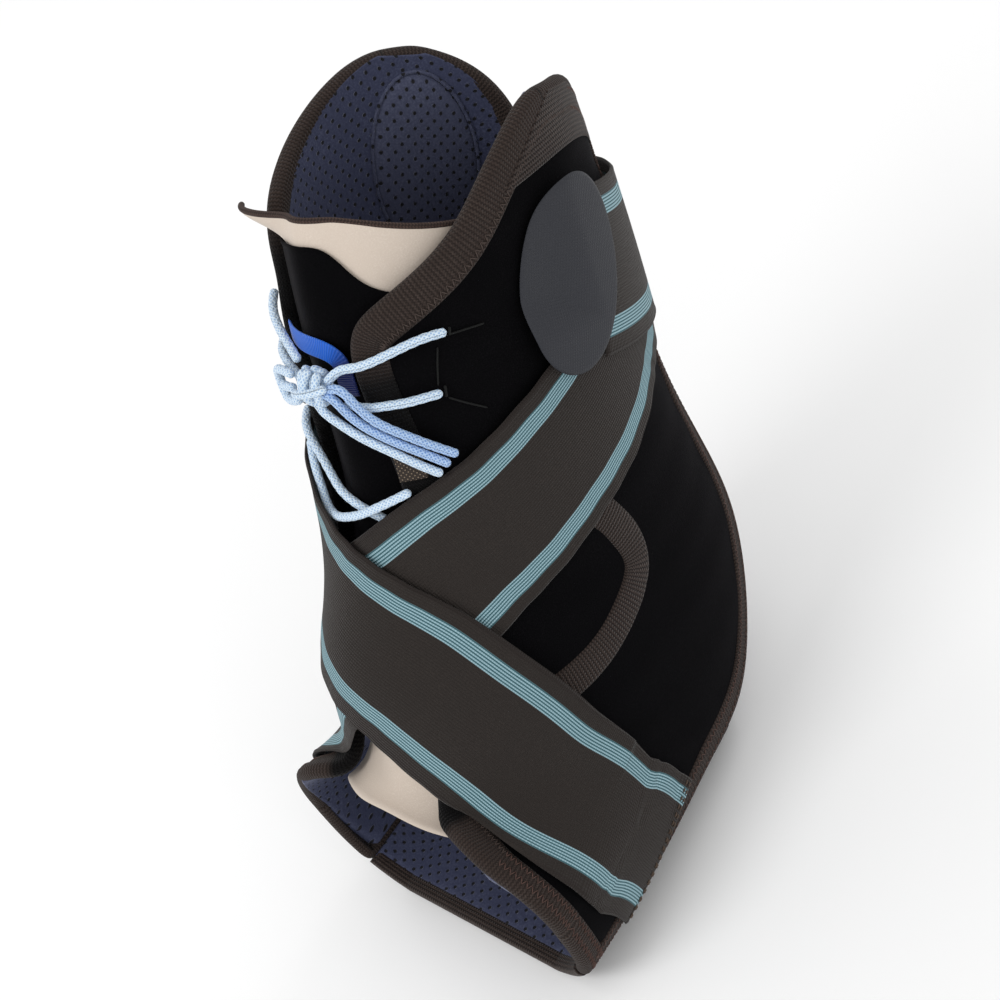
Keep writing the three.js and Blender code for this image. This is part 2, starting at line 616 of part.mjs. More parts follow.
// Sole strip under the foot, from the heel opening to the toe opening
function sole() {
  const underFoot = PANEL_EDGES.filter((row) => row.rearU > SOLE_CURVE_FROM_U);
  const rearDeg = naturalSpline(
    underFoot.map((row) => row.rearU),
    underFoot.map((row) => row.rearDeg),
  );
  const strip = (fromU, toU) => (t, s) => {
    const u = THREE.MathUtils.lerp(fromU, toU, t);
    const first = rearDeg(u) + PANEL_GAP_DEG;
    return { u, deg: THREE.MathUtils.lerp(first, 360 - first, s) };
  };
  const main = strip(SOLE_HEEL_U, SOLE_EDGE_U - EDGE_GAP_U);
  const liningTop = -SOLE_WALL - LAYER_GAP;
  const liningLow = liningTop - SOLE_LINING_WALL;
  add("sole", wallOnForm(SOLE_ROWS, SOLE_COLUMNS, main, () => [0, -SOLE_WALL]), "velvet");
  add("sole_lining", wallOnForm(SOLE_ROWS, SOLE_COLUMNS, main, () => [liningTop, liningLow]), "lining");
  add("sole_edge", wallOnForm(2, SOLE_COLUMNS, strip(SOLE_EDGE_U, 1), () => [0, liningLow]), "edging");
}

// Tongue, its top edging and its black cover
function tongueHeights() {
  const rise = columnSpline(TONGUE, "rise");
  const sink = columnSpline(TONGUE, "sink");
  const underPanels = -SHELL_WALL - LAYER_GAP - LINING_WALL - TONGUE_GAP - COVER_WALL - COVER_GAP;
  return (u, deg) => {
    const middle = 1 - THREE.MathUtils.smoothstep(Math.abs(deg), 0, TONGUE_SHOULDER_DEG);
    const corner = THREE.MathUtils.smoothstep(-deg, FLARE.fromDeg, FLARE.toDeg);
    const top = 1 - THREE.MathUtils.smoothstep(u - TONGUE[0].u, 0, FLARE.lengthU);
    const waves = TONGUE_RISE * rise(u) * middle - TONGUE_SINK * sink(u);
    return underPanels + waves + FLARE.height * corner * top;
  };
}

function tongue() {
  const near = columnSpline(TONGUE, "nearDeg");
  const far = columnSpline(TONGUE, "farDeg");
  const height = tongueHeights();
  const top = TONGUE[0].u;
  const bottom = TONGUE.at(-1).u;
  const edgingU = top + TONGUE_EDGE / LEG_TOP;
  const degAt = (u, s) => THREE.MathUtils.lerp(-far(u), near(u), s);
  const body = (t, s) => {
    const u = THREE.MathUtils.lerp(edgingU + EDGE_GAP_U, bottom, t ** TOP_ROW_POWER);
    return { u, deg: degAt(u, s) };
  };
  const rim = (t, s) => {
    const u = THREE.MathUtils.lerp(top, edgingU, t);
    return { u, deg: degAt(u, s) };
  };
  const layer = (low, high) => (u, deg) => [height(u, deg) + high, height(u, deg) + low];
  add("tongue", wallOnForm(TONGUE_ROWS, TONGUE_COLUMNS + 1, body, layer(-TONGUE_WALL, 0)), "beige");
  const edging = layer(-TONGUE_WALL - EDGING_RISE, EDGING_RISE);
  add("tongue_edge", wallOnForm(2, TONGUE_COLUMNS + 1, rim, edging), "edging");
  const share = COVER_COLUMNS / TONGUE_COLUMNS;
  const coverTop = columnSpline(COVER_EDGE, "u", "deg");
  const cover = (t, s) => {
    const u = THREE.MathUtils.lerp(coverTop(share * degAt(COVER_EDGE[0].u, s)), COVER_BOTTOM, t);
    return { u, deg: share * degAt(u, s) };
  };
  const coverLayer = layer(COVER_GAP, COVER_GAP + COVER_WALL);
  add("tongue_cover", wallOnForm(COVER_ROWS, COVER_COLUMNS + 1, cover, coverLayer), "velvet");
}

// Straps and the oval tabs on their ends
function straps() {
  const column = (key) => columnSpline(STRAP_PATH, key, "index");
  const [overRing, overStrap, overTab] = ["overRing", "overStrap", "overTab"].map(column);
  const onBinding = BINDING_RISE + STRAP_GAP;
  const onStrap = onBinding + STRAP_WALL + STRAP_GAP;
  const inner = (t) => onBinding + overRing(t) * (LAYER_GAP + RING_WALL - BINDING_RISE);
  const outer = (t) => inner(t) + overStrap(t) * (onStrap - onBinding) + overTab(t) * (TAB_WALL + LAYER_GAP);
  add("strap_far", band(STRAP_PATH, STRAP_WIDTH, STRAP_WALL, STRAP_ROWS, STRAP_COLUMNS, inner, 1), "strap");
  add("strap_near", band(STRAP_PATH, STRAP_WIDTH, STRAP_WALL, STRAP_ROWS, STRAP_COLUMNS, outer, -1), "strap");
  const tab = (low) => (u, deg) => [low(u, deg) + TAB_WALL, low(u, deg)];
  const farTab = () => onBinding + STRAP_WALL + TAB_GAP;
  const nearTab = (u, deg) => {
    const round = THREE.MathUtils.smoothstep(deg, TAB_OVER_STRAP.fromDeg, TAB_OVER_STRAP.toDeg);
    const down = THREE.MathUtils.smoothstep(u, TAB_OVER_STRAP.fromU, TAB_OVER_STRAP.toU);
    return THREE.MathUtils.lerp(onBinding, onStrap + STRAP_WALL + TAB_GAP, Math.max(round, down));
  };
  add("tab_far", oval(TAB_PLACE, TAB_LENGTH, TAB_WIDTH, tab(farTab), -1), "tab");
  add("tab_near", oval(TAB_PLACE, TAB_LENGTH, TAB_WIDTH, tab(nearTab), 1), "tab");
}

// Lace strands, the knot, the webbing loops and the bright tab behind the knot
function laceRoute(points) {
  const places = points.map(([u, deg, height]) => above(u, deg, height));
  return new THREE.CatmullRomCurve3(places, false, "centripetal");
}

function laces() {
  const ring = [];
  for (let k = 0; k < LACE_SIDES; k++) {
    const angle = (2 * Math.PI * k) / LACE_SIDES;
    ring.push(new THREE.Vector2(Math.cos(angle), Math.sin(angle)).multiplyScalar(LACE_DIAMETER / 2));
  }
  const section = new THREE.Shape(ring);
  for (const [name, points] of Object.entries(LACES)) {
    const extrudePath = laceRoute(points);
    const steps = Math.max(LACE_STEPS, Math.round(extrudePath.getLength() / (LACE_PIECE * LACE_DIAMETER)));
    add(name, new THREE.ExtrudeGeometry(section, { steps, extrudePath, bevelEnabled: false }), "lace");
  }
  const { u, deg, lift } = KNOT_PLACE;
  const knot = new THREE.SphereGeometry(1, 10, 6);
  const up = outward(u, deg);
  const along = slopes(u, deg).alongDeg.normalize();
  const across = up.clone().cross(along).normalize();
  const size = new THREE.Vector3(KNOT_LENGTH, KNOT_WIDTH, KNOT_HEIGHT).multiplyScalar(0.5);
  knot.applyMatrix4(new THREE.Matrix4().makeScale(size.x, size.y, size.z));
  knot.applyMatrix4(new THREE.Matrix4().makeBasis(along, across, up));
  knot.translate(...above(u, deg, lift).toArray());
  add("lace_knot", knot, "lace");
  for (const [side, at] of Object.entries(LOOP_PLACES)) {
    const share = LOOP_LENGTH / LEG_TOP;
    const path = [-0.5, 0, 0.5].map((k) => ({ u: at.u + k * share, deg: at.deg }));
    const lift = () => BINDING_RISE + LAYER_GAP;
    add("lace_loop_" + side, band(path, LOOP_WIDTH, LOOP_WALL, 4, 2, lift), "webbing");
  }
  const blueHeight = tongueHeights()(BLUE_PATH[2].u, 0) + COVER_GAP + COVER_WALL + LAYER_GAP;
  add("pull_tab", band(BLUE_PATH, BLUE_WIDTH, BLUE_WALL, 8, 2, () => blueHeight), "blue");
}

for (const side of ["near", "far"]) {
  sidePanel(side);
  earPad(side);
  ankleRing(side);
}
backPanel();
sole();
tongue();
straps();
laces();

export default group;
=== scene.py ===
# Lace-up ankle brace: velvet side panels, stitched bindings, perforated foam, a soft tongue,
# two striped elastic straps and a braided lace. Lengths below are in millimetres; meshes are in metres.
import math
import bpy
import numpy as np
from mathutils import Matrix, Vector


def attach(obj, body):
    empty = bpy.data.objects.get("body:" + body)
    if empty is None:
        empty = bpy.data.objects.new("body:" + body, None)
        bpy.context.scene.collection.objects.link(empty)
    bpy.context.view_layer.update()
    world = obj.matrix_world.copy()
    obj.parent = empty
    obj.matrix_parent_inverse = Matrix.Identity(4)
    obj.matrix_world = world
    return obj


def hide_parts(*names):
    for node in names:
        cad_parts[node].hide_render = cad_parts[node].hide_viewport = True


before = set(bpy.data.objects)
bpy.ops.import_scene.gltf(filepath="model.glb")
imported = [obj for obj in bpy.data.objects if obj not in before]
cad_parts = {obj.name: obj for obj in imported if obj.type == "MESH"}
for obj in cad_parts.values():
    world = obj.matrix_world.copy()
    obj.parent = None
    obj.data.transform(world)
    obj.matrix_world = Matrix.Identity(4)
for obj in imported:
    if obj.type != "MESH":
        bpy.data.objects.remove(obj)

scene = bpy.context.scene
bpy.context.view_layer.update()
mm = 0.001

# the camera stands where the photograph was taken from
cameraSettings = {"azimuth": 58.9, "elevation": 40.9, "roll": 32.3, "distance": 0.650,
                  "target": (0, 0.010, 0.110), "lens": 74.88, "shift": (-0.0167, -0.0134)}


def makeCamera(settings):
    azimuth, elevation, roll = (math.radians(settings[key]) for key in ("azimuth", "elevation", "roll"))
    back = Vector((math.sin(azimuth) * math.cos(elevation), -math.cos(azimuth) * math.cos(elevation),
                   math.sin(elevation)))
    right = Vector((math.cos(azimuth), math.sin(azimuth), 0))
    up = back.cross(right)
    xAxis = right * math.cos(roll) - up * math.sin(roll)
    yAxis = right * math.sin(roll) + up * math.cos(roll)
    data = bpy.data.cameras.new("camera")
    data.lens, data.sensor_width = settings["lens"], 36
    data.shift_x, data.shift_y = settings["shift"]
    data.clip_start, data.clip_end = 0.01, 20
    obj = bpy.data.objects.new("camera", data)
    scene.collection.objects.link(obj)
    turn = Matrix((xAxis, yAxis, back)).transposed().to_4x4()
    obj.matrix_world = Matrix.Translation(Vector(settings["target"]) + back * settings["distance"]) @ turn
    scene.camera = obj


makeCamera(cameraSettings)

# the smooth ankle that every piece lies on; u runs from the leg top (0) to the toe opening (1),
# and degrees run round it from the instep (0) over the near side (90) to the back (180)
form = {
    "depth": 167, "legTop": 284, "footWidth": 115,
    "columns": ("frontY", "frontZ", "backY", "backZ", "half", "square", "skew"),
    "rows": {
        0.0: (0.06, 1.0, 0.575, 0.831, 0.326, 2.0, 0),
        0.18: (-0.045, 0.859, 0.533, 0.662, 0.339, 2.0, 0),
        0.36: (-0.153, 0.708, 0.479, 0.493, 0.348, 2.0, 0),
        0.5: (-0.234, 0.57, 0.443, 0.352, 0.357, 2.0, 0),
        0.6: (-0.335, 0.465, 0.446, 0.218, 0.374, 2.1, 0),
        0.68: (-0.434, 0.398, 0.407, 0.116, 0.4, 2.3, 0),
        0.76: (-0.482, 0.331, 0.269, -0.004, 0.435, 2.5, -0.05),
        0.84: (-0.506, 0.285, 0.048, -0.011, 0.461, 3.0, -0.05),
        0.92: (-0.527, 0.278, -0.246, -0.011, 0.487, 3.2, -0.05),
        1.0: (-0.551, 0.303, -0.551, -0.011, 0.5, 3.2, -0.05),
    },
    "uStep": 0.004, "degStep": 1.5,
}


def splineThrough(xs, ys):
    # natural cubic spline, straight beyond its ends
    xs, ys = np.asarray(xs, float), np.asarray(ys, float)
    count = len(xs)
    gaps = np.diff(xs)
    matrix, right = np.eye(count), np.zeros(count)
    for i in range(1, count - 1):
        matrix[i, i - 1:i + 2] = gaps[i - 1], 2 * (gaps[i - 1] + gaps[i]), gaps[i]
        right[i] = 6 * ((ys[i + 1] - ys[i]) / gaps[i] - (ys[i] - ys[i - 1]) / gaps[i - 1])
    bend = np.linalg.solve(matrix, right)

    def curve(x):
        x = np.asarray(x, float)
        inside = np.clip(x, xs[0], xs[-1])
        k = np.clip(np.searchsorted(xs, inside, side="left") - 1, 0, count - 2)
        h = gaps[k]
        a = (xs[k + 1] - inside) / h
        b = 1 - a
        value = a * ys[k] + b * ys[k + 1] + ((a ** 3 - a) * bend[k] + (b ** 3 - b) * bend[k + 1]) * h * h / 6
        slope = (ys[k + 1] - ys[k]) / h + ((3 * b * b - 1) * bend[k + 1] - (3 * a * a - 1) * bend[k]) * h / 6
        return value + slope * (x - inside)
    return curve


def smoothStep(x, low, high):
    t = np.clip((np.asarray(x, float) - low) / (high - low), 0, 1)
    return t * t * (3 - 2 * t)


def blend(a, b, share):
    return a + (b - a) * share


formCurves = {column: splineThrough(list(form["rows"]), [row[i] for row in form["rows"].values()])
              for i, column in enumerate(form["columns"])}


def middleOf(u):
    f = formCurves
    y = form["depth"] * (f["frontY"](u) + f["backY"](u)) / 2
    z = form["legTop"] * (f["frontZ"](u) + f["backZ"](u)) / 2
    return np.stack([np.zeros_like(y), y, z], -1)


def skin(u, deg):
    u, deg = np.broadcast_arrays(np.asarray(u, float), np.asarray(deg, float))
    f = formCurves
    c, s = np.cos(np.radians(deg)), np.sin(np.radians(deg))
    power = 2 / np.where(c > 0, 2, f["square"](u))
    along = np.sign(c) * np.abs(c) ** power
    x = form["footWidth"] * f["half"](u) * np.sign(s) * np.abs(s) ** power
    middle = middleOf(u)
    y = middle[..., 1] + along * form["depth"] * (f["frontY"](u) - f["backY"](u)) / 2 + f["skew"](u) * x
    z = middle[..., 2] + along * form["legTop"] * (f["frontZ"](u) - f["backZ"](u)) / 2
    return np.stack([x, y, np.maximum(z, 0)], -1)


def unit(v):
    return v / np.maximum(np.linalg.norm(v, axis=-1, keepdims=True), 1e-9)


def slopes(u, deg):
    du, dd = form["uStep"], form["degStep"]
    return ((skin(u + du, deg) - skin(u - du, deg)) / (2 * du),
            (skin(u, deg + dd) - skin(u, deg - dd)) / (2 * dd))


def outward(u, deg):
    alongU, alongDeg = slopes(u, deg)
    normal = unit(np.cross(alongU, alongDeg))
    away = skin(u, deg) - middleOf(u)
    return np.where((normal * away).sum(-1, keepdims=True) < 0, -normal, normal)


def above(u, deg, height):
    point = skin(u, deg) + outward(u, deg) * np.asarray(height, float)[..., None]
    point[..., 2] = np.maximum(point[..., 2], 0)
    return point


def walk(u, deg, heading, distance, steps=6):
    # moves over the skin from (u, deg) along a heading, backwards where the distance is negative
    u, deg, heading = (np.array(v, float) for v in (u, deg, heading))
    for _ in range(steps):
        alongU, alongDeg = slopes(u, deg)
        pairs = (alongU, alongU), (alongU, alongDeg), (alongDeg, alongDeg)
        uu, ud, dd = ((a * b).sum(-1) for a, b in pairs)
        hu, hd = (heading * alongU).sum(-1), (heading * alongDeg).sum(-1)
        det = uu * dd - ud * ud
        moveU, moveDeg = (hu * dd - hd * ud) / det, (hd * uu - hu * ud) / det
        moved = alongU * moveU[..., None] + alongDeg * moveDeg[..., None]
        length = np.linalg.norm(moved, axis=-1)
        u = u + moveU * distance / steps / length
        deg = deg + moveDeg * distance / steps / length
        heading = unit(moved)
    return u, deg


def addMesh(name, points, faces, uvs):
    mesh = bpy.data.meshes.new(name)
    mesh.from_pydata((np.asarray(points) * mm).tolist(), [], [list(map(int, face)) for face in faces])
    corner = np.empty(len(mesh.loops), int)
    mesh.loops.foreach_get("vertex_index", corner)
    mesh.uv_layers.new(name="UVMap").data.foreach_set("uv", np.asarray(uvs, np.float32)[corner].ravel())
    mesh.update()
    mesh.shade_smooth()
    obj = bpy.data.objects.new(name, mesh)
    scene.collection.objects.link(obj)
    return obj


def faceOut(obj):
    # turns a closed mesh so that its faces point out
    mesh = obj.data
    mesh.calc_loop_triangles()
    co = np.array([v.co[:] for v in mesh.vertices])
    tri = np.array([t.vertices[:] for t in mesh.loop_triangles])
    volume = np.einsum("ij,ij->i", co[tri[:, 0]], np.cross(co[tri[:, 1]], co[tri[:, 2]])).sum()
    if volume < 0:
        mesh.flip_normals()
    return obj


def gridFaces(rows, columns, start=0, closeRows=False, closeColumns=False):
    i = np.arange(rows if closeRows else rows - 1)[:, None]
    j = np.arange(columns if closeColumns else columns - 1)[None]
    below, beside = (i + 1) % rows, (j + 1) % columns
    corners = (i * columns + j, below * columns + j, below * columns + beside, i * columns + beside)
    return start + np.stack(corners, -1).reshape(-1, 4)


def gridShares(rows, columns, first=0.0, last=1.0):
    # shares down a grid, and values from first to last across it
    return (np.broadcast_to(np.linspace(0, 1, rows)[:, None], (rows, columns)),
            np.broadcast_to(np.linspace(first, last, columns)[None], (rows, columns)))


def wallMesh(name, outer, inner, uvs):
    # a closed cloth wall between two grids; uvs are the same on both faces
    rows, columns = outer.shape[:2]
    count = rows * columns
    index = np.arange(count).reshape(rows, columns)
    rim = np.concatenate([index[0, :-1], index[:-1, -1], index[-1, :0:-1], index[:0:-1, 0]])
    ahead = np.roll(rim, -1)
    faces = [gridFaces(rows, columns), gridFaces(rows, columns, count)[:, ::-1],
             np.stack([rim, ahead, ahead + count, rim + count], -1)]
    points = np.concatenate([outer.reshape(-1, 3), inner.reshape(-1, 3)])
    flat = uvs.reshape(-1, 2)
    return faceOut(addMesh(name, points, np.concatenate(faces), np.concatenate([flat, flat])))


def edgeRound(rows, columns, sizes, radius):
    # 1 in the field and down to thinnest at the rim; sizes are the grid's length and width
    thinnest = 0.15
    down = np.linspace(0, 1, rows)[:, None] * sizes[0]
    across = np.linspace(0, 1, columns)[None] * sizes[1]
    nearest = np.minimum(np.minimum(down, sizes[0] - down), np.minimum(across, sizes[1] - across))
    share = np.clip(nearest / radius, 0, 1)
    return np.maximum(np.sqrt(1 - (1 - share) ** 2), thinnest)


def arcLengths(points):
    steps = np.linalg.norm(np.diff(points, axis=0), axis=-1)
    return np.concatenate([[0], np.cumsum(steps)])


def gridUvs(points):
    # millimetres down the grid and across it, measured on its middle column and on each row
    down = arcLengths(points[:, points.shape[1] // 2])
    across = np.concatenate([np.zeros((points.shape[0], 1)),
                             np.cumsum(np.linalg.norm(np.diff(points, axis=1), axis=-1), axis=1)], 1)
    across = across - across[:, points.shape[1] // 2][:, None]
    return np.stack([np.broadcast_to(down[:, None], across.shape), across], -1)


def shellPiece(name, u, deg, high, low, edgeRadius=1.5):
    # a cloth wall on the form with a rounded rim, from its outer and inner height
    high, low = (np.broadcast_to(np.asarray(h, float), u.shape) for h in (high, low))
    middle = above(u, deg, (high + low) / 2)
    uvs = gridUvs(middle)
    sizes = (uvs[-1, 0, 0], np.median(uvs[:, -1, 1] - uvs[:, 0, 1]))
    share = edgeRound(u.shape[0], u.shape[1], sizes, edgeRadius)
    centre, half = (high + low) / 2, (high - low) / 2
    return wallMesh(name, above(u, deg, centre + half * share), above(u, deg, centre - half * share), uvs)


def ringPoints(points, side, other, size, angle):
    # circles round the points, each in the plane of its two directions
    return points[:, None] + size[..., None] * (side[:, None] * np.cos(angle)[None, :, None]
                                                + other[:, None] * np.sin(angle)[None, :, None])


def tubeFaces(rows, sides, start=0):
    faces = gridFaces(rows, sides, start, closeColumns=True).tolist()
    last = start + (rows - 1) * sides
    return faces + [list(range(start, start + sides)), list(range(last, last + sides))[::-1]]


def tubeMesh(name, points, radius, sides=20, braid=None):
    # a tube along points; a braid gives its strand count, pitch and depth
    tangent = unit(np.gradient(points, axis=0))
    normal = unit(np.cross(tangent[0], [0.3, 0.5, 0.8]))
    frames = []
    for t in tangent:
        normal = unit(normal - t * (normal @ t))
        frames.append((normal, np.cross(t, normal)))
    side, other = (np.array(each) for each in zip(*frames))
    angle = np.arange(sides) * 2 * math.pi / sides
    along = arcLengths(points)
    size = np.full((len(points), sides), float(radius))
    if braid:
        turn = along[:, None] * 2 * math.pi / braid["pitch"]
        first = np.cos(braid["strands"] / 2 * angle[None] + turn)
        second = np.cos(braid["strands"] / 2 * angle[None] - turn)
        size += braid["depth"] * (np.maximum(first, second) - 0.6)
    ends = np.clip(np.minimum(along, along[-1] - along) / radius, 0, 1)
    size *= np.maximum(np.sqrt(1 - (1 - ends) ** 2), 0.2)[:, None]
    ring = ringPoints(points, side, other, size, angle)
    uvs = np.stack([np.broadcast_to(along[:, None], size.shape),
                    np.broadcast_to(angle[None] * radius, size.shape)], -1).reshape(-1, 2)
    return faceOut(addMesh(name, ring.reshape(-1, 3), tubeFaces(len(points), sides), uvs))


def threadMesh(name, runs, radius, sides=6):
    # many short threads as one piece; each run is a list of points
    points, faces = [], []
    angle = np.arange(sides) * 2 * math.pi / sides
    for run in runs:
        run = np.asarray(run, float)
        tangent = unit(np.gradient(run, axis=0))
        side = unit(np.cross(tangent, tangent[0][[1, 2, 0]] + [0.2, 0.4, 0.1]))
        size = np.full((len(run), 1), float(radius))
        size[[0, -1]] *= 0.45
        faces += tubeFaces(len(run), sides, sum(map(len, points)))
        points.append(ringPoints(run, side, np.cross(tangent, side), size, angle).reshape(-1, 3))
    points = np.concatenate(points)
    return faceOut(addMesh(name, points, faces, np.zeros((len(points), 2))))


def dress(obj, material, slot, *nodes):
    # gives a piece its material and body, and hides the CAD nodes it replaces; the slot is not used
    obj.data.materials.append(material)
    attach(obj, "root")
    if nodes:
        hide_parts(*nodes)
    return obj


# shared shader effects, each a node group
def newGroup(name, inputs, outputs):
    group = bpy.data.node_groups.new(name, "ShaderNodeTree")
    for label, value in inputs.items():
        kind = "NodeSocketColor" if isinstance(value, tuple) else "NodeSocketFloat"
        group.interface.new_socket(name=label, in_out="INPUT", socket_type=kind).default_value = value
    for label, kind in outputs.items():
        group.interface.new_socket(name=label, in_out="OUTPUT", socket_type="NodeSocket" + kind)
    return group, group.nodes.new("NodeGroupInput").outputs, group.nodes.new("NodeGroupOutput").inputs


def put(tree, value, socket):
    if isinstance(value, bpy.types.NodeSocket):
        tree.links.new(value, socket)
    else:
        socket.default_value = value


def calc(tree, operation, a, b=0.0, c=0.0):
    node = tree.nodes.new("ShaderNodeMath")
    node.operation = operation
    for value, socket in zip((a, b, c), node.inputs):
        put(tree, value, socket)
    return node.outputs[0]


def mixColour(tree, share, a, b):
    node = tree.nodes.new("ShaderNodeMix")
    node.data_type = "RGBA"
    for value, socket in ((share, node.inputs[0]), (a, node.inputs[6]), (b, node.inputs[7])):
        put(tree, value, socket)
    return node.outputs[2]


def uvParts(tree):
    parts = tree.nodes.new("ShaderNodeSeparateXYZ")
    tree.links.new(tree.nodes.new("ShaderNodeUVMap").outputs[0], parts.inputs[0])
    return parts.outputs[0], parts.outputs[1]


def noise(tree, scale, detail=2.0):
    node = tree.nodes.new("ShaderNodeTexNoise")
    tree.links.new(tree.nodes.new("ShaderNodeTexCoord").outputs["Object"], node.inputs["Vector"])
    put(tree, scale, node.inputs["Scale"])
    node.inputs["Detail"].default_value = detail
    return node.outputs[0]


def wave(tree, value, pitch):
    # 0 to 1 and back over each pitch
    turns = calc(tree, "MULTIPLY", calc(tree, "DIVIDE", value, pitch), 2 * math.pi)
    return calc(tree, "MULTIPLY_ADD", calc(tree, "SINE", turns), 0.5, 0.5)


def window(tree, value, low, high):
    node = tree.nodes.new("ShaderNodeMapRange")
    node.interpolation_type = "SMOOTHSTEP"
    for each, socket in zip((value, low, high, 0.0, 1.0), node.inputs):
        put(tree, each, socket)
    return node.outputs[0]


def clothFuzz():
    # uneven dye and fine fibres
    tree, given, out = newGroup(
        "cloth fuzz", {"Colour": (0.1, 0.1, 0.1, 1), "Light Fibre": (0.2, 0.2, 0.2, 1), "Fibre Scale": 2400.0,
                       "Fibre Share": 0.5}, {"Colour": "Color", "Height": "Float"})
    broad = window(tree, noise(tree, 60.0, 3.0), 0.35, 0.7)
    fine = noise(tree, given["Fibre Scale"], 3.0)
    share = calc(tree, "MULTIPLY", window(tree, fine, 0.42, 0.72), given["Fibre Share"])
    share = calc(tree, "MULTIPLY", share, calc(tree, "MULTIPLY_ADD", broad, 0.6, 0.4))
    put(tree, mixColour(tree, share, given["Colour"], given["Light Fibre"]), out["Colour"])
    put(tree, fine, out["Height"])
    return tree


def knitLoops():
    # rows of small loops; the pitch is in millimetres along and across
    tree, given, out = newGroup("knit loops", {"Along Pitch": 1.3, "Across Pitch": 1.0},
                                {"Height": "Float", "Gap": "Float"})
    along, across = uvParts(tree)
    lean = calc(tree, "MULTIPLY", wave(tree, across, given["Across Pitch"]), 0.35)
    rows = wave(tree, calc(tree, "ADD", along, lean), given["Along Pitch"])
    columns = wave(tree, across, given["Across Pitch"])
    height = calc(tree, "MULTIPLY", rows, calc(tree, "MULTIPLY_ADD", columns, 0.5, 0.5))
    put(tree, height, out["Height"])
    put(tree, window(tree, height, 0.45, 0.05), out["Gap"])
    return tree


def punchedHoles():
    # small round holes in a slanted square pattern, millimetres apart
    tree, given, out = newGroup("punched holes", {"Pitch": 3.4, "Hole": 0.17}, {"Hole": "Float"})
    turned = tree.nodes.new("ShaderNodeVectorRotate")
    turned.rotation_type = "Z_AXIS"
    turned.inputs["Angle"].default_value = 0.6
    tree.links.new(tree.nodes.new("ShaderNodeUVMap").outputs[0], turned.inputs["Vector"])
    parts = tree.nodes.new("ShaderNodeSeparateXYZ")
    tree.links.new(turned.outputs[0], parts.inputs[0])
    offsets = []
    for value in parts.outputs[:2]:
        cell = calc(tree, "FRACT", calc(tree, "DIVIDE", value, given["Pitch"]))
        offsets.append(calc(tree, "POWER", calc(tree, "ABSOLUTE", calc(tree, "SUBTRACT", cell, 0.5)), 2.0))
    away = calc(tree, "SQRT", calc(tree, "ADD", *offsets))
    outer, inner = (calc(tree, "MULTIPLY", given["Hole"], share) for share in (1.35, 0.8))
    put(tree, window(tree, away, outer, inner), out["Hole"])
    return tree


def stripedRibs():
    # elastic webbing seen across its width: ribs, dark selvedges and two bands of light lines
    tree, given, out = newGroup(
        "striped ribs", {"Stripe Centre": 17.5, "Stripe Half": 2.75, "Half Width": 25.0},
        {"Stripe": "Float", "Line": "Float", "Selvedge": "Float", "Height": "Float"})
    along, across = uvParts(tree)
    distance = calc(tree, "ABSOLUTE", across)
    offset = calc(tree, "SUBTRACT", distance, given["Stripe Centre"])
    inStripe = window(tree, calc(tree, "ABSOLUTE", offset), calc(tree, "ADD", given["Stripe Half"], 0.12),
                      calc(tree, "SUBTRACT", given["Stripe Half"], 0.12))
    ribs = wave(tree, across, 0.92)
    cross = wave(tree, along, 0.8)
    dashes = calc(tree, "MULTIPLY_ADD", cross, 0.35, 0.65)
    put(tree, inStripe, out["Stripe"])
    put(tree, calc(tree, "MULTIPLY", window(tree, wave(tree, offset, 0.92), 0.25, 0.6), dashes), out["Line"])
    put(tree, window(tree, distance, calc(tree, "SUBTRACT", given["Half Width"], 1.3),
                     calc(tree, "SUBTRACT", given["Half Width"], 0.7)), out["Selvedge"])
    put(tree, calc(tree, "MULTIPLY_ADD", ribs, 0.6, calc(tree, "MULTIPLY", cross, 0.4)), out["Height"])
    return tree


groups = {"fuzz": clothFuzz(), "knit": knitLoops(), "holes": punchedHoles(), "webbing": stripedRibs()}


def place(tree, group, **values):
    node = tree.nodes.new("ShaderNodeGroup")
    node.node_tree = groups[group]
    for label, value in values.items():
        put(tree, value, node.inputs[label.replace("_", " ")])
    return node.outputs


def newMaterial(name, roughness=0.85, sheen=0.0, sheenTint=(1, 1, 1, 1), specular=0.3):
    material = bpy.data.materials.new(name)
    material.use_nodes = True
    shader = material.node_tree.nodes["Principled BSDF"]
    shader.inputs["Roughness"].default_value = roughness
    shader.inputs["Sheen Weight"].default_value = sheen
    shader.inputs["Sheen Roughness"].default_value = 0.4
    shader.inputs["Sheen Tint"].default_value = sheenTint
    shader.inputs["Specular IOR Level"].default_value = specular
    return material, material.node_tree, shader


def raised(tree, shader, height, depth):
    bump = tree.nodes.new("ShaderNodeBump")
    bump.inputs["Distance"].default_value = depth * mm
    put(tree, height, bump.inputs["Height"])
    tree.links.new(bump.outputs[0], shader.inputs["Normal"])


def fuzzyCloth(name, colour, fibre, share=0.5, depth=0.15, scale=2400.0, **looks):
    material, tree, shader = newMaterial(name, **looks)
    fuzz = place(tree, "fuzz", Colour=colour, Light_Fibre=fibre, Fibre_Share=share, Fibre_Scale=scale)
    put(tree, fuzz["Colour"], shader.inputs["Base Color"])
    raised(tree, shader, fuzz["Height"], depth)
    return material


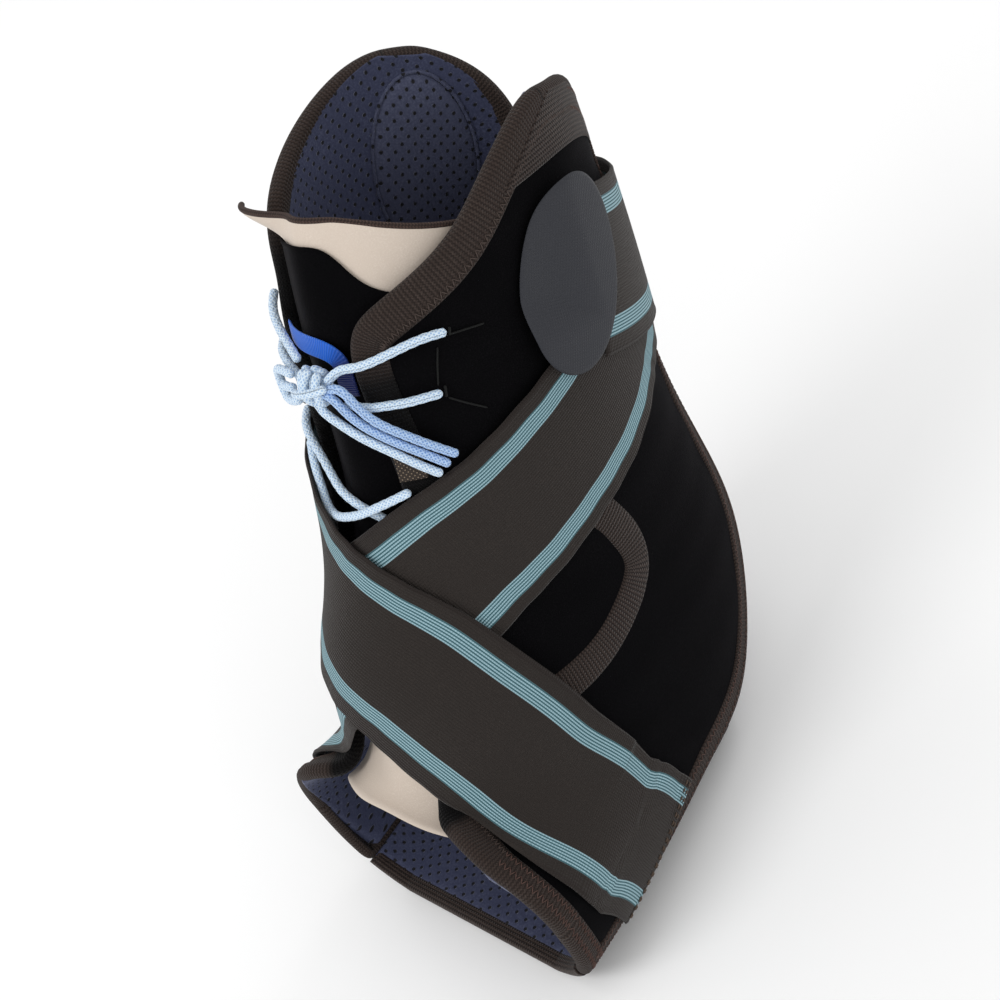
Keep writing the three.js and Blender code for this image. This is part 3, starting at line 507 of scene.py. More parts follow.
def knittedCloth(name, colour, fibre, gap, along=1.3, across=1.0, depth=0.35, fade=None, **looks):
    # fade gives a second colour and the millimetres along the piece where it comes in and goes out
    material, tree, shader = newMaterial(name, **looks)
    fuzz = place(tree, "fuzz", Colour=colour, Light_Fibre=fibre, Fibre_Scale=1700.0, Fibre_Share=0.7)
    knit = place(tree, "knit", Along_Pitch=along, Across_Pitch=across)
    seen = mixColour(tree, knit["Gap"], fuzz["Colour"], gap)
    if fade:
        other, (start, full, ending, gone) = fade
        distance = uvParts(tree)[0]
        share = calc(tree, "MULTIPLY", window(tree, distance, start, full),
                     window(tree, distance, gone, ending))
        seen = mixColour(tree, share, seen, other)
    put(tree, seen, shader.inputs["Base Color"])
    raised(tree, shader, calc(tree, "MULTIPLY_ADD", fuzz["Height"], 0.3, knit["Height"]), depth)
    return material


def perforatedFoam(name, colour, fibre, hole):
    material, tree, shader = newMaterial(name, roughness=0.75, sheen=0.25, sheenTint=(0.7, 0.75, 1, 1))
    fuzz = place(tree, "fuzz", Colour=colour, Light_Fibre=fibre, Fibre_Scale=1500.0, Fibre_Share=0.75)
    holes = place(tree, "holes")
    put(tree, mixColour(tree, holes["Hole"], fuzz["Colour"], hole), shader.inputs["Base Color"])
    solid = calc(tree, "SUBTRACT", 1.0, holes["Hole"])
    raised(tree, shader, calc(tree, "MULTIPLY_ADD", fuzz["Height"], 0.25, solid), 0.5)
    return material


def elasticWebbing(name, colour, fibre, selvedge, lines, between):
    material, tree, shader = newMaterial(name, roughness=0.8, sheen=0.1)
    fuzz = place(tree, "fuzz", Colour=colour, Light_Fibre=fibre, Fibre_Scale=1600.0, Fibre_Share=0.5)
    ribs = place(tree, "webbing")
    stripe = mixColour(tree, ribs["Line"], between, lines)
    field = mixColour(tree, ribs["Selvedge"], fuzz["Colour"], selvedge)
    put(tree, mixColour(tree, ribs["Stripe"], field, stripe), shader.inputs["Base Color"])
    raised(tree, shader, ribs["Height"], 0.25)
    return material


def braidedCord(name, light, dark, pitch):
    material, tree, shader = newMaterial(name, roughness=0.55, sheen=0.2)
    along, around = uvParts(tree)
    turned = calc(tree, "MULTIPLY", around, 1.1)
    strands = calc(tree, "MAXIMUM", wave(tree, calc(tree, "ADD", along, turned), pitch),
                   wave(tree, calc(tree, "SUBTRACT", along, turned), pitch))
    tone = window(tree, strands, 0.3, 0.9)
    put(tree, mixColour(tree, tone, dark, light), shader.inputs["Base Color"])
    raised(tree, shader, strands, 0.12)
    return material


def wovenTape(name, colour, fleck):
    material, tree, shader = newMaterial(name, roughness=0.75)
    along, across = uvParts(tree)
    checks = calc(tree, "MULTIPLY", wave(tree, calc(tree, "ADD", along, across), 1.5),
                  wave(tree, calc(tree, "SUBTRACT", along, across), 1.5))
    put(tree, mixColour(tree, window(tree, checks, 0.45, 0.8), colour, fleck), shader.inputs["Base Color"])
    raised(tree, shader, checks, 0.4)
    return material


def satinTape(name, colour, dark, paintedShadeFrom):
    material, tree, shader = newMaterial(name, roughness=0.4, sheen=0.2)
    along = uvParts(tree)[0]
    ribs = wave(tree, along, 0.7)
    bright = mixColour(tree, calc(tree, "MULTIPLY", ribs, 0.3), colour, dark)
    # the tape's lower end fades to the dark colour between the two given distances along it: this is painted
    # shade, not the tape's own colour
    put(tree, mixColour(tree, window(tree, along, *paintedShadeFrom), bright, dark), shader.inputs["Base Color"])
    raised(tree, shader, ribs, 0.12)
    return material


def hookTape(name, colour, fibre):
    material, tree, shader = newMaterial(name, roughness=0.6, specular=0.35)
    along, across = uvParts(tree)
    hooks = calc(tree, "MULTIPLY", wave(tree, along, 0.9), wave(tree, across, 0.9))
    fuzz = place(tree, "fuzz", Colour=colour, Light_Fibre=fibre, Fibre_Scale=900.0, Fibre_Share=0.25)
    put(tree, fuzz["Colour"], shader.inputs["Base Color"])
    raised(tree, shader, hooks, 0.1)
    return material


materials = {
    "velvet": fuzzyCloth("black velvet", (0.0015, 0.0014, 0.0018, 1), (0.006, 0.0055, 0.0065, 1),
                         roughness=0.95, sheen=0.03, sheenTint=(0.8, 0.75, 0.85, 1), specular=0.05),
    "brown": knittedCloth("brown knitted binding", (0.036, 0.025, 0.021, 1), (0.075, 0.056, 0.048, 1),
                          (0.012, 0.008, 0.007, 1), roughness=0.9, sheen=0.15, specular=0.15),
    "thread": fuzzyCloth("brown thread", (0.062, 0.044, 0.037, 1), (0.11, 0.083, 0.073, 1), roughness=0.75),
    "redThread": fuzzyCloth("reddish brown thread", (0.085, 0.046, 0.037, 1), (0.15, 0.09, 0.075, 1),
                            roughness=0.7),
    "tan": fuzzyCloth("tan thread", (0.085, 0.058, 0.042, 1), (0.15, 0.11, 0.08, 1), roughness=0.75),
    "foam": perforatedFoam("navy perforated foam", (0.034, 0.04, 0.082, 1), (0.075, 0.085, 0.15, 1),
                           (0.003, 0.003, 0.005, 1)),
    "padFoam": perforatedFoam("navy pad foam", (0.046, 0.052, 0.095, 1), (0.09, 0.1, 0.16, 1),
                              (0.003, 0.003, 0.005, 1)),
    "backKnit": knittedCloth("black stretch knit", (0.006, 0.006, 0.007, 1), (0.02, 0.019, 0.021, 1),
                             (0.002, 0.002, 0.002, 1), along=1.6, across=2.2, depth=0.6, roughness=0.9,
                             sheen=0.1, specular=0.15),
    "tongue": fuzzyCloth("beige tongue cloth", (0.62, 0.53, 0.45, 1), (0.74, 0.66, 0.58, 1), share=0.6,
                         depth=0.08, roughness=0.8, sheen=0.2, specular=0.2),
    "edging": knittedCloth("tongue edging", (0.06, 0.035, 0.028, 1), (0.12, 0.08, 0.065, 1),
                           (0.02, 0.012, 0.01, 1), along=0.9, across=0.7, depth=0.15, roughness=0.85),
    "strap": elasticWebbing("striped elastic", (0.0165, 0.012, 0.0098, 1), (0.03, 0.0225, 0.0185, 1),
                            (0.015, 0.0102, 0.0083, 1), (0.33, 0.5, 0.56, 1), (0.03, 0.1, 0.12, 1)),
    "tab": hookTape("grey hook tape", (0.02, 0.0215, 0.028, 1), (0.03, 0.032, 0.041, 1)),
    "lace": braidedCord("pale blue lace", (0.7, 0.82, 0.92, 1), (0.34, 0.5, 0.74, 1), 1.35),
    "bowLace": braidedCord("blue lace of the bow", (0.44, 0.6, 0.85, 1), (0.16, 0.3, 0.62, 1), 1.35),
    # the blue tape's dark navy lower end, from 20 to 27 mm along it, is painted shade
    "blue": satinTape("royal blue tape", (0.008, 0.13, 0.66, 1), (0.003, 0.012, 0.11, 1), (20.0, 27.0)),
    "webLoop": wovenTape("woven loop tape", (0.03, 0.021, 0.016, 1), (0.24, 0.185, 0.13, 1)),
    "seam": fuzzyCloth("dark seam thread", (0.005, 0.0053, 0.005, 1), (0.012, 0.0125, 0.012, 1),
                       roughness=0.9),
}
print("materials ready")

# side panels: edges from the ear top to the toe opening
panel = {
    "columns": ("frontU", "nearDeg", "farDeg", "rearU", "rearDeg"),
    "rows": ((0.083, 108, 118, 0.083, 132), (0.102, 95, 98, 0.112, 152), (0.16, 76, 68, 0.165, 164),
             (0.225, 58, 46, 0.245, 165), (0.278, 34.5, 43.5, 0.325, 163), (0.31, 21.5, 40.5, 0.4, 159),
             (0.35, 18.2, 37, 0.47, 154), (0.4, 19.5, 37, 0.53, 150), (0.47, 23, 38, 0.585, 147),
             (0.56, 25, 37, 0.64, 142), (0.65, 24, 35, 0.69, 137), (0.74, 22, 32, 0.74, 130),
             (0.83, 20, 28, 0.79, 124), (0.9, 20, 27, 0.84, 121), (0.955, 30, 33, 0.885, 122),
             (0.985, 40, 41, 0.94, 125), (1.0, 50, 50, 1.0, 127)),
    "farEarRise": 0.02, "farEarShare": 0.25, "liningTop": -1.6, "liningLow": -4.6, "cornerRound": 3.5,
}
band = {"front": 11, "toe": 9, "rear": 12, "rise": 0.5, "rim": (-0.35, 0.3), "taper": 0.4, "roll": 2.4,
        "insideWrap": 6.5, "toeWrap": 2.9, "wrapPast": 1.5, "underLining": 0.15, "toeFrom": (0.8, 0.97)}
shell = {"ends": (0.03, 0.975), "tuck": (2.5, 1.2), "wall": 1.2, "puff": 0.2, "base": -0.1, "ripple": 0.22}
foam = {"ends": (0.018, 0.991), "inset": 3.2, "swell": 0.35}
cap = {"ends": (0.03, 0.15), "tuck": (2, 1), "arch": 0.03, "rise": 0.75, "base": 0.1, "rows": 40,
       "columns": 60}
sideSign = {"near": 1, "far": -1}
panelShares = np.linspace(0, 1, len(panel["rows"]))
panelCurves = {column: splineThrough(panelShares, [row[i] for row in panel["rows"]])
               for i, column in enumerate(panel["columns"])}


def panelPlace(side, t, s):
    c = panelCurves
    rise = panel["farEarRise"] * (1 - smoothStep(t, 0, panel["farEarShare"])) if side == "far" else 0
    deg = blend(c[side + "Deg"](t), c["rearDeg"](t), s)
    return blend(c["frontU"](t), c["rearU"](t), s) - rise, sideSign[side] * deg


def panelGrid(side, ends, frontInset, rearInset, rows=190, columns=70):
    # places inside the panel's edges, with the shares down it and across it
    t = np.linspace(*ends, rows)[:, None]
    s = np.linspace(0, 1, 24)[None]
    length = np.linalg.norm(np.diff(skin(*panelPlace(side, t, s)), axis=1), axis=-1).sum(1)[:, None]
    share = np.linspace(0, 1, columns)[None]
    inside = blend(frontInset / length, 1 - rearInset / length, share)
    return (*panelPlace(side, t, inside), np.broadcast_to(t, inside.shape), inside)


def panelLoop(side, count=720):
    # the panel's outline as evenly spaced places, with the band's width and shares that are 1 on the toe edge
    # and on the toe and rear edges
    t, s = np.linspace(0, 1, 400), np.linspace(0, 1, 60)
    edges = [(t, 0 * t, band["front"], 0), (1 + 0 * s, s, band["toe"], 1),
             (t[::-1], 1 + 0 * t, band["rear"], 1), (0 * s, s[::-1], band["front"], 0)]
    places = [panelPlace(side, a[:-1], b[:-1]) for a, b, _, _ in edges]
    values = {"u": [place[0] for place in places], "deg": [place[1] for place in places],
              "width": [np.full(len(a) - 1, float(w)) for a, _, w, _ in edges],
              "toe": [smoothStep(a[:-1], *band["toeFrom"]) for a, _, _, _ in edges],
              "rear": [np.full(len(a) - 1, float(k)) for a, _, _, k in edges]}
    values = {key: np.append(np.concatenate(parts), parts[0][0]) for key, parts in values.items()}
    along = arcLengths(skin(values["u"], values["deg"]))
    even = np.linspace(0, along[-1], count, endpoint=False)
    loop = {key: np.interp(even, along, column) for key, column in values.items()}
    reach = max(int(panel["cornerRound"] / along[-1] * count), 1)
    for key in loop:
        wide, times = (2 * reach, 3) if key in ("width", "rear") else (reach, 2)
        for _ in range(times):
            loop[key] = sum(np.roll(loop[key], k) for k in range(-wide, wide + 1)) / (2 * wide + 1)
    loop["along"] = even
    return loop


def loopInward(side, u, deg):
    point = skin(u, deg)
    tangent = unit(np.roll(point, -1, 0) - np.roll(point, 1, 0))
    return sideSign[side] * np.cross(outward(u, deg), tangent)


def frontDistance(side, share):
    # millimetres along the outline to a share of the panel's front edge
    t = np.linspace(0, share, 200)
    return arcLengths(skin(*panelPlace(side, t, 0 * t)))[-1]


def edgeBand(side):
    # the binding wraps the panel's whole outline: a flat band outside, a roll over the edge, a wrap inside
    b, loop = band, panelLoop(side)
    u, deg, width = loop["u"], loop["deg"], loop["width"]
    inward = loopInward(side, u, deg)
    low = panel["liningLow"] - b["underLining"]
    halfDepth = (b["rise"] - low) / 2
    wrap = blend(np.minimum(b["insideWrap"], width + b["wrapPast"]), b["toeWrap"], loop["toe"])
    section = [(width, height) for height in b["rim"]]
    section += [(blend(width - b["taper"], b["roll"], k), b["rise"]) for k in (0, 0.25, 0.5, 0.75, 1)]
    section += [(b["roll"] * (1 - math.cos(a)), low + halfDepth * (1 + math.sin(a)))
                for a in np.linspace(math.pi / 2, -math.pi / 2, 9)[1:-1]]
    section += [(blend(b["roll"], wrap, k), low) for k in (0, 0.5, 0.92)] + [(wrap, low + 0.5)]
    flat = 0 * width
    points = np.stack([above(*walk(u, deg, inward, distance + flat), height + flat)
                       for distance, height in section], 1)
    across = np.concatenate([[0], np.cumsum(np.linalg.norm(np.diff(points, axis=1), axis=-1).mean(0))])
    uvs = np.stack(np.broadcast_arrays(loop["along"][:, None], across[None]), -1)
    faces = gridFaces(*points.shape[:2], closeRows=True, closeColumns=True)
    return faceOut(addMesh("edge_band_" + side, points.reshape(-1, 3), faces, uvs.reshape(-1, 2)))


stitches = {"pitch": 2.2, "thread": 0.19, "lift": 0.1, "swing": 1.1, "edgeInset": 1.6}


def zigzagRow(name, side, share, keep):
    # a row of zigzag thread at a share of the band's width; keep says where along the outline it shows
    c, loop = stitches, panelLoop(side, 1440)
    inward = loopInward(side, loop["u"], loop["deg"])
    length = loop["along"][-1] + loop["along"][1]
    at = np.linspace(0, length, 2 * int(length / c["pitch"]), endpoint=False)
    columns = [loop[key] for key in ("u", "deg", "width", "rear")] + list(inward.T)
    u, deg, width, rear, *heading = (np.interp(at, loop["along"], column, period=length)
                                     for column in columns)
    heading = np.stack(heading, -1)
    centre = blend(c["edgeInset"], width - c["edgeInset"], share)
    row = np.stack([above(*walk(u, deg, heading, centre + shift * c["swing"]),
                          band["rise"] + lift * c["lift"])
                    for shift, lift in ((-1, 1), (-0.4, 2), (0.4, 2), (1, 1))], 1)
    runs = []
    for k in range(len(at) - 1):
        if keep(at[k], rear[k]):
            first, last = (row[k, 0], row[k + 1, 3]) if k % 2 else (row[k, 3], row[k + 1, 0])
            runs.append([first, (row[k, 1] + row[k + 1, 2]) / 2, last])
    return threadMesh(name + "_" + side, runs, c["thread"], 5)


def velvetShell(side):
    c = shell
    insets = band["front"] - c["tuck"][0], band["rear"] - c["tuck"][1]
    u, deg, _, s = panelGrid(side, c["ends"], *insets)
    puff = c["puff"] * np.sin(math.pi * np.clip(s, 0, 1)) ** 0.7
    ripple = c["ripple"] * np.sin(u * 95 + np.radians(deg) * 3) * np.sin(np.radians(deg) * 7 + u * 30)
    high = puff + ripple * smoothStep(s, 0, 0.2) + c["base"]
    return shellPiece("velvet_shell_" + side, u, deg, high, -c["wall"])


def foamLining(side):
    u, deg, _, s = panelGrid(side, foam["ends"], foam["inset"], foam["inset"])
    swell = foam["swell"] * np.sin(math.pi * np.clip(s, 0, 1)) ** 0.6
    return shellPiece("foam_lining_" + side, u, deg, panel["liningTop"], panel["liningLow"] - swell)


def earCap(side):
    # brown cloth over the ear's outside, its lower edge arched
    c = cap
    insets = band["front"] - c["tuck"][0], band["rear"] - c["tuck"][1]
    _, _, t, s = panelGrid(side, c["ends"], *insets, c["rows"], c["columns"])
    down, across = gridShares(c["rows"], c["columns"], -1, 1)
    u, deg = panelPlace(side, t - c["arch"] * (1 - across ** 2) * down, s)
    return shellPiece("ear_cap_cloth_" + side, u, deg, c["rise"], c["base"], 1.2)


def padMiddle(place, length, width, mirror):
    # a function from shares of an oval (0 to 1) and an angle to places on the form
    alongU, alongDeg = slopes(place["u"], mirror * place["deg"])
    down = unit(alongU)
    around = unit(alongDeg - down * (alongDeg @ down))
    tilt = math.radians(-mirror * place["tilt"])

    def placeAt(share, angle):
        a, b = np.cos(angle) * length / 2 * share, np.sin(angle) * width / 2 * share
        heading = down * (a * math.cos(tilt) - b * math.sin(tilt))[..., None]
        heading = heading + around * (a * math.sin(tilt) + b * math.cos(tilt))[..., None]
        distance, flat = np.linalg.norm(heading, axis=-1), 0 * share
        return walk(place["u"] + flat, mirror * place["deg"] + flat, unit(heading + 1e-9), distance)
    return placeAt


def ovalPlate(name, place, length, width, heights, mirror, rings=22, sides=96):
    # a closed oval; heights gives the outer and inner height from the places and the share of the radius
    placeAt = padMiddle(place, length, width, mirror)
    angles = np.arange(sides) * 2 * math.pi / sides
    share, angle = np.meshgrid(np.linspace(0, 1, rings + 1)[1:], angles, indexing="ij")
    u, deg = placeAt(share, angle)
    high, low = heights(u, deg, share)
    u0, deg0 = np.array([place["u"]]), np.array([mirror * place["deg"]])
    high0, low0 = heights(u0, deg0, np.zeros(1))
    points = np.concatenate([above(u0, deg0, high0), above(u, deg, high).reshape(-1, 3),
                             above(u0, deg0, low0), above(u, deg, low).reshape(-1, 3)])
    half = 1 + rings * sides
    k = 1 + np.arange(sides)
    ahead = 1 + np.arange(1, sides + 1) % sides
    hub = np.stack([0 * k, k, ahead], -1)
    field = gridFaces(rings, sides, 1, closeColumns=True)
    last = (rings - 1) * sides
    rim = last + np.stack([k, half + k, half + ahead, ahead], -1)
    faces = sum((part.tolist() for part in (hub, field, hub[:, ::-1] + half, field[:, ::-1] + half, rim)), [])
    flat = np.stack([share * np.cos(angle) * length / 2, share * np.sin(angle) * width / 2], -1)
    flat = np.concatenate([[[0, 0]], flat.reshape(-1, 2)])
    return faceOut(addMesh(name, points, faces, np.concatenate([flat, flat])))


earPad = {"place": {"u": 0.207, "deg": 120, "tilt": 10}, "length": 58, "width": 37, "top": -4.4, "wall": 0.5,
          "rise": 3.0, "pressure": 3.0, "frames": 16, "most": 1.6 * mm}
piping = {"reach": 1.02, "height": -5.1, "radius": 0.55, "bead": 0.12, "beads": 45}


def swollen(obj, settings):
    # blows a pad up a little as cloth, caps how far each point may go, and keeps the result as the mesh
    rest = np.array([v.co[:] for v in obj.data.vertices])
    cloth = obj.modifiers.new("cloth", "CLOTH")
    cloth.settings.use_pressure = True
    cloth.settings.uniform_pressure_force = settings["pressure"]
    cloth.settings.effector_weights.gravity = 0
    cloth.settings.quality = 5
    cloth.settings.tension_stiffness = 30
    scene.frame_set(1)
    for step in range(1, settings["frames"] + 1):
        scene.frame_set(step)
    moved = obj.evaluated_get(bpy.context.evaluated_depsgraph_get()).data
    shift = np.array([v.co[:] for v in moved.vertices]) - rest
    obj.modifiers.remove(cloth)
    size = np.linalg.norm(shift, axis=1, keepdims=True)
    shift *= np.minimum(1, settings["most"] / np.maximum(size, 1e-9))
    obj.data.vertices.foreach_set("co", (rest + shift).astype(np.float32).ravel())
    obj.data.update()
    scene.frame_set(1)
    return obj


def paddedEar(side):
    e = earPad

    def dome(u, deg, share):
        return e["top"] + 0 * share, e["top"] - e["wall"] - e["rise"] * (1 - share ** 2.6) ** 0.6
    pad = ovalPlate("ear_pad_foam_" + side, e["place"], e["length"], e["width"], dome, sideSign[side])
    swollen(pad, e)
    return pad


def padPiping(side):
    # the raised seam round the ear pad
    e, c = earPad, piping
    angle = np.linspace(0, 2 * math.pi, 181)
    u, deg = padMiddle(e["place"], e["length"], e["width"], sideSign[side])(c["reach"] + 0 * angle, angle)
    height = c["height"] + c["bead"] * np.sin(angle * c["beads"])
    return tubeMesh("ear_pad_seam_" + side, above(u, deg, height), c["radius"], 10)


# the front bands turn black beside the knot, down to below the strap
blackShares = {"near": (0.352, 0.415, 0.85, 0.88), "far": (0.17, 0.24, 0.85, 0.88)}
for side in ("near", "far"):
    black = [frontDistance(side, share) for share in blackShares[side]]
    fadingBrown = knittedCloth("brown binding turning black " + side, (0.037, 0.026, 0.022, 1),
                               (0.075, 0.056, 0.048, 1), (0.02, 0.014, 0.012, 1), roughness=0.9, sheen=0.06,
                               specular=0.15, fade=((0.0018, 0.0015, 0.0017, 1), black))
    dress(edgeBand(side), fadingBrown, "brown_binding", "binding_" + side)
    dress(zigzagRow("zigzag", side, 1, lambda at, rear: rear < 0.5 and not black[0] < at < black[3]),
          materials["thread"], "brown_binding")
    for name, share in (("rear_zigzag", 1), ("edge_zigzag", 0.35)):
        row = zigzagRow(name, side, share, lambda at, rear: rear >= 0.5)
        dress(row, materials["redThread"], "brown_binding")
    dress(velvetShell(side), materials["velvet"], "velvet", "panel_" + side)
    dress(foamLining(side), materials["foam"], "lining", "lining_" + side)
    dress(earCap(side), materials["brown"], "brown_binding", "ear_cap_" + side)
    dress(paddedEar(side), materials["padFoam"], "lining", "ear_pad_" + side)
    dress(padPiping(side), materials["padFoam"], "lining")
print("side panels ready")

# straps, from the sewn end at the sole edge over the instep and round the leg to the hook tab
strap = {
    "columns": ("u", "deg", "overRing", "overStrap", "overTab"),
    "rows": ((0.907, -108, 0, 0, 0), (0.885, -88, 0, 0, 0), (0.828, -62, 0.7, 0.3, 0),
             (0.763, -48, 0.7, 0.7, 0), (0.713, -37, 0, 1, 0), (0.667, -23.5, 0, 1, 0),
             (0.638, -8, 0, 1, 0), (0.612, 10, 0, 1, 0),
             (0.588, 24, 0, 1, 0), (0.556, 39, 0.2, 1, 0), (0.525, 56, 0.7, 1, 0), (0.49, 73, 0.7, 1, 0.2),
             (0.453, 90, 0.3, 1, 1), (0.411, 106, 0, 1, 1.1), (0.375, 118, 0, 1, 1), (0.343, 137, 0, 1, 0.3),
             (0.322, 160, 0, 1, 0), (0.314, 184, 0, 1, 0), (0.311, 208, 0, 1, 0), (0.308, 232, 0, 1, 0),
             (0.303, 254, 0, 1, 0)),
    "width": 50, "wall": 1.2, "onBinding": 1.2, "onStrap": 2.0, "onRing": 0.6, "onTab": 1.4,
    "selvedge": 0.1, "selvedgeInsets": (1.6, 0.7), "ripple": 0.16, "ripples": 190, "turnStep": 0.03,
}
endStitches = {"insets": (2.2, 3.8), "length": 1.7, "gap": 1.1, "sides": (2, 1), "rise": 0.28, "thread": 0.3}
strapShares = np.linspace(0, 1, len(strap["rows"]))
strapCurves = {column: splineThrough(strapShares, [row[i] for row in strap["rows"]])
               for i, column in enumerate(strap["columns"])}


def strapPlace(side, t, across):
    # places and the lift above the form at shares of the strap's length and millimetres across it
    c, step = strapCurves, strap["turnStep"]
    placeAt = lambda share: (c["u"](share), -sideSign[side] * c["deg"](share))
    u, deg = placeAt(t)
    forward = unit(skin(*placeAt(np.minimum(t + step, 1))) - skin(*placeAt(np.maximum(t - step, 0))))
    sideways = unit(np.cross(forward, outward(u, deg)))
    lift = strap["onBinding"] + c["overRing"](t) * strap["onRing"]
    if side == "near":
        lift = lift + c["overStrap"](t) * strap["onStrap"] + c["overTab"](t) * strap["onTab"]
    return (*walk(u, deg, sideways, across), lift)


def strapBand(side, rows=380, columns=58):
    c = strap
    edge = c["width"] / 2
    t, across = gridShares(rows, columns, -edge, edge)
    u, deg, lift = strapPlace(side, t, across)
    away = np.abs(across)
    selvedge = c["selvedge"] * smoothStep(away, *(edge - inset for inset in c["selvedgeInsets"]))
    ripple = c["ripple"] * np.sin(t * c["ripples"]) * smoothStep(away, 6, edge) * np.sin(math.pi * t)
    low = lift + ripple
    return shellPiece("strap_webbing_" + side, u, deg, low + c["wall"] + selvedge, low, 0.7)


def strapEndStitches(side):
    # rows of stitches across the strap's sewn end
    c, edge = endStitches, strap["width"] / 2
    share = np.linspace(0, 1, 400)
    length = arcLengths(skin(strapCurves["u"](share), strapCurves["deg"](share)))[-1]
    starts = np.arange(c["sides"][0] - edge, edge - c["sides"][1] - c["length"], c["length"] + c["gap"])
    runs = []
    for inset in c["insets"]:
        for start in starts:
            across = start + c["length"] * np.array([0, 0.3, 0.7, 1])
            u, deg, lift = strapPlace(side, np.full(4, inset / length), across)
            runs.append(above(u, deg, lift + strap["wall"] + c["rise"] * np.array([0, 1, 1, 0])))
    return threadMesh("strap_stitches_" + side, runs, c["thread"])


hookTab = {"place": {"u": 0.292, "deg": 95, "tilt": 18}, "length": 57, "width": 38, "wall": 1.0,
           "climbDeg": (84, 102), "climbU": (0.3, 0.355), "near": (1.2, 4.9), "far": 2.9, "edge": 0.06}


def tabPlate(side):
    h = hookTab

    def heights(u, deg, share):
        climb = np.maximum(smoothStep(deg, *h["climbDeg"]), smoothStep(u, *h["climbU"]))
        low = blend(*h["near"], climb) if side == "near" else h["far"] + 0 * share
        rim = np.sqrt(np.clip(1 - np.clip((share - 1 + h["edge"]) / h["edge"], 0, 1) ** 2, 0.04, 1))
        return low + h["wall"] * (0.5 + 0.5 * rim), low + h["wall"] * (0.5 - 0.5 * rim)
    return ovalPlate("hook_tab_" + side + "_face", h["place"], h["length"], h["width"], heights,
                     sideSign[side], 30, 120)


for side in ("far", "near"):
    dress(strapBand(side), materials["strap"], "strap", "strap_" + side)
    dress(strapEndStitches(side), materials["tan"], "strap")
    dress(tabPlate(side), materials["tab"], "tab", "tab_" + side)
print("straps ready")

# brown arc round the ankle bone
ankleRing = {"u": (0.527, 0.554, 0.588, 0.622, 0.654, 0.682, 0.702), "deg": (74, 82, 87.5, 88, 82.5, 73, 61),
             "width": 11, "rise": 0.7, "base": 0.15, "low": -0.3, "turnStep": 0.01}


def ringArc(side, rows=130, columns=22):
    r, step = ankleRing, ankleRing["turnStep"]
    share = np.linspace(0, 1, len(r["u"]))
    uAt, degAt = splineThrough(share, r["u"]), splineThrough(share, r["deg"])
    placeAt = lambda at: (uAt(at), sideSign[side] * degAt(at))
    t, across = gridShares(rows, columns, -0.5, 0.5)
    u, deg = placeAt(t)
    forward = unit(skin(*placeAt(np.minimum(t + step, 1))) - skin(*placeAt(np.maximum(t - step, 0))))
    u, deg = walk(u, deg, unit(np.cross(forward, outward(u, deg))), across * r["width"])
    crown = r["base"] + r["rise"] * np.sqrt(np.clip(1 - (2 * across) ** 2, 0.02, 1))
    return shellPiece("ankle_arc_" + side, u, deg, crown, r["low"], 0.8)


for side in ("near", "far"):
    dress(ringArc(side), materials["brown"], "brown_binding", "ankle_ring_" + side)

# stretch knit behind the leg, between the panels' rear edges
back = {"topU": 0.21, "bottomU": 0.6, "gapDeg": -0.6, "outer": -0.4, "wall": 3.0, "ribs": 18,
        "ribDepth": 0.22}


def backKnit(rows=150, columns=110):
    b = back
    rearDeg = splineThrough([row[3] for row in panel["rows"]], [row[4] for row in panel["rows"]])
    down, share = gridShares(rows, columns, -1, 1)
    u = blend(b["topU"], b["bottomU"], down)
    half = 180 - rearDeg(u) - b["gapDeg"]
    rib = b["ribDepth"] * np.cos(share * math.pi * b["ribs"])
    return shellPiece("back_knit", u, 180 + share * half, b["outer"] + rib, b["outer"] - b["wall"], 1.6)


dress(backKnit(), materials["backKnit"], "knit", "back_panel")

# sole strip: velvet underneath, foam on top, a binding at the toe
sole = {"heelU": 0.815, "edgeU": 0.985, "curveFromU": 0.715, "gapDeg": -1.2, "wall": 1.5,
        "layerGap": 0.4, "foam": 3.0}


def soleStrip(name, fromU, toU, high, low, rows=60, columns=70, radius=1.2):
    underFoot = [row for row in panel["rows"] if row[3] > sole["curveFromU"]]
    rearDeg = splineThrough([row[3] for row in underFoot], [row[4] for row in underFoot])
    down, share = gridShares(rows, columns)
    u = blend(fromU, toU, down)
    first = rearDeg(u) + sole["gapDeg"]
    return shellPiece(name, u, blend(first, 360 - first, share), high, low, radius)


foamTop = -sole["wall"] - sole["layerGap"]
foamLow = foamTop - sole["foam"]
soleVelvet = soleStrip("sole_velvet", sole["heelU"], sole["edgeU"], 0.0, -sole["wall"])
dress(soleVelvet, materials["velvet"], "velvet", "sole")
soleFoam = soleStrip("sole_foam", sole["heelU"], sole["edgeU"] + 0.01, foamTop, foamLow - 0.1)
dress(soleFoam, materials["foam"], "lining", "sole_lining")
soleBinding = soleStrip("sole_binding", sole["edgeU"], 1.0, 0.0, foamLow, 24, 70, 2.4)
dress(soleBinding, materials["brown"], "brown_binding", "sole_edge")
print("back and sole ready")

# tongue with a far top corner that turns outwards, its edging and its velvet cover
tongue = {
    "u": (0.193, 0.225, 0.27, 0.36, 0.5, 0.68, 0.82, 0.91), "nearDeg": (73, 66, 56, 50, 46, 42, 38, 36),
    "farDeg": (45, 46, 50, 50, 46, 42, 38, 38), "rise": (2, 2, 2, 2, 2, 1.9, 1.8, 1.6),
    "sink": (0, 0, 0, 0, 0, 0, 0.28, 0.7), "underPanels": -6.9, "shoulderDeg": 21, "flare": 13,
    "flareDeg": (8, 46), "ripple": 0.12, "edging": (0.0015, 0.95), "flareLength": 0.045,
    "nearDip": 0.018, "wall": 1.6, "coverDeg": (-50, -24, 0, 10, 22, 36, 50),
    "coverU": (0.236, 0.228, 0.222, 0.225, 0.244, 0.268, 0.28), "coverShare": 0.84, "coverBottom": 0.62,
    "coverGap": 0.35, "coverWall": 0.9,
}
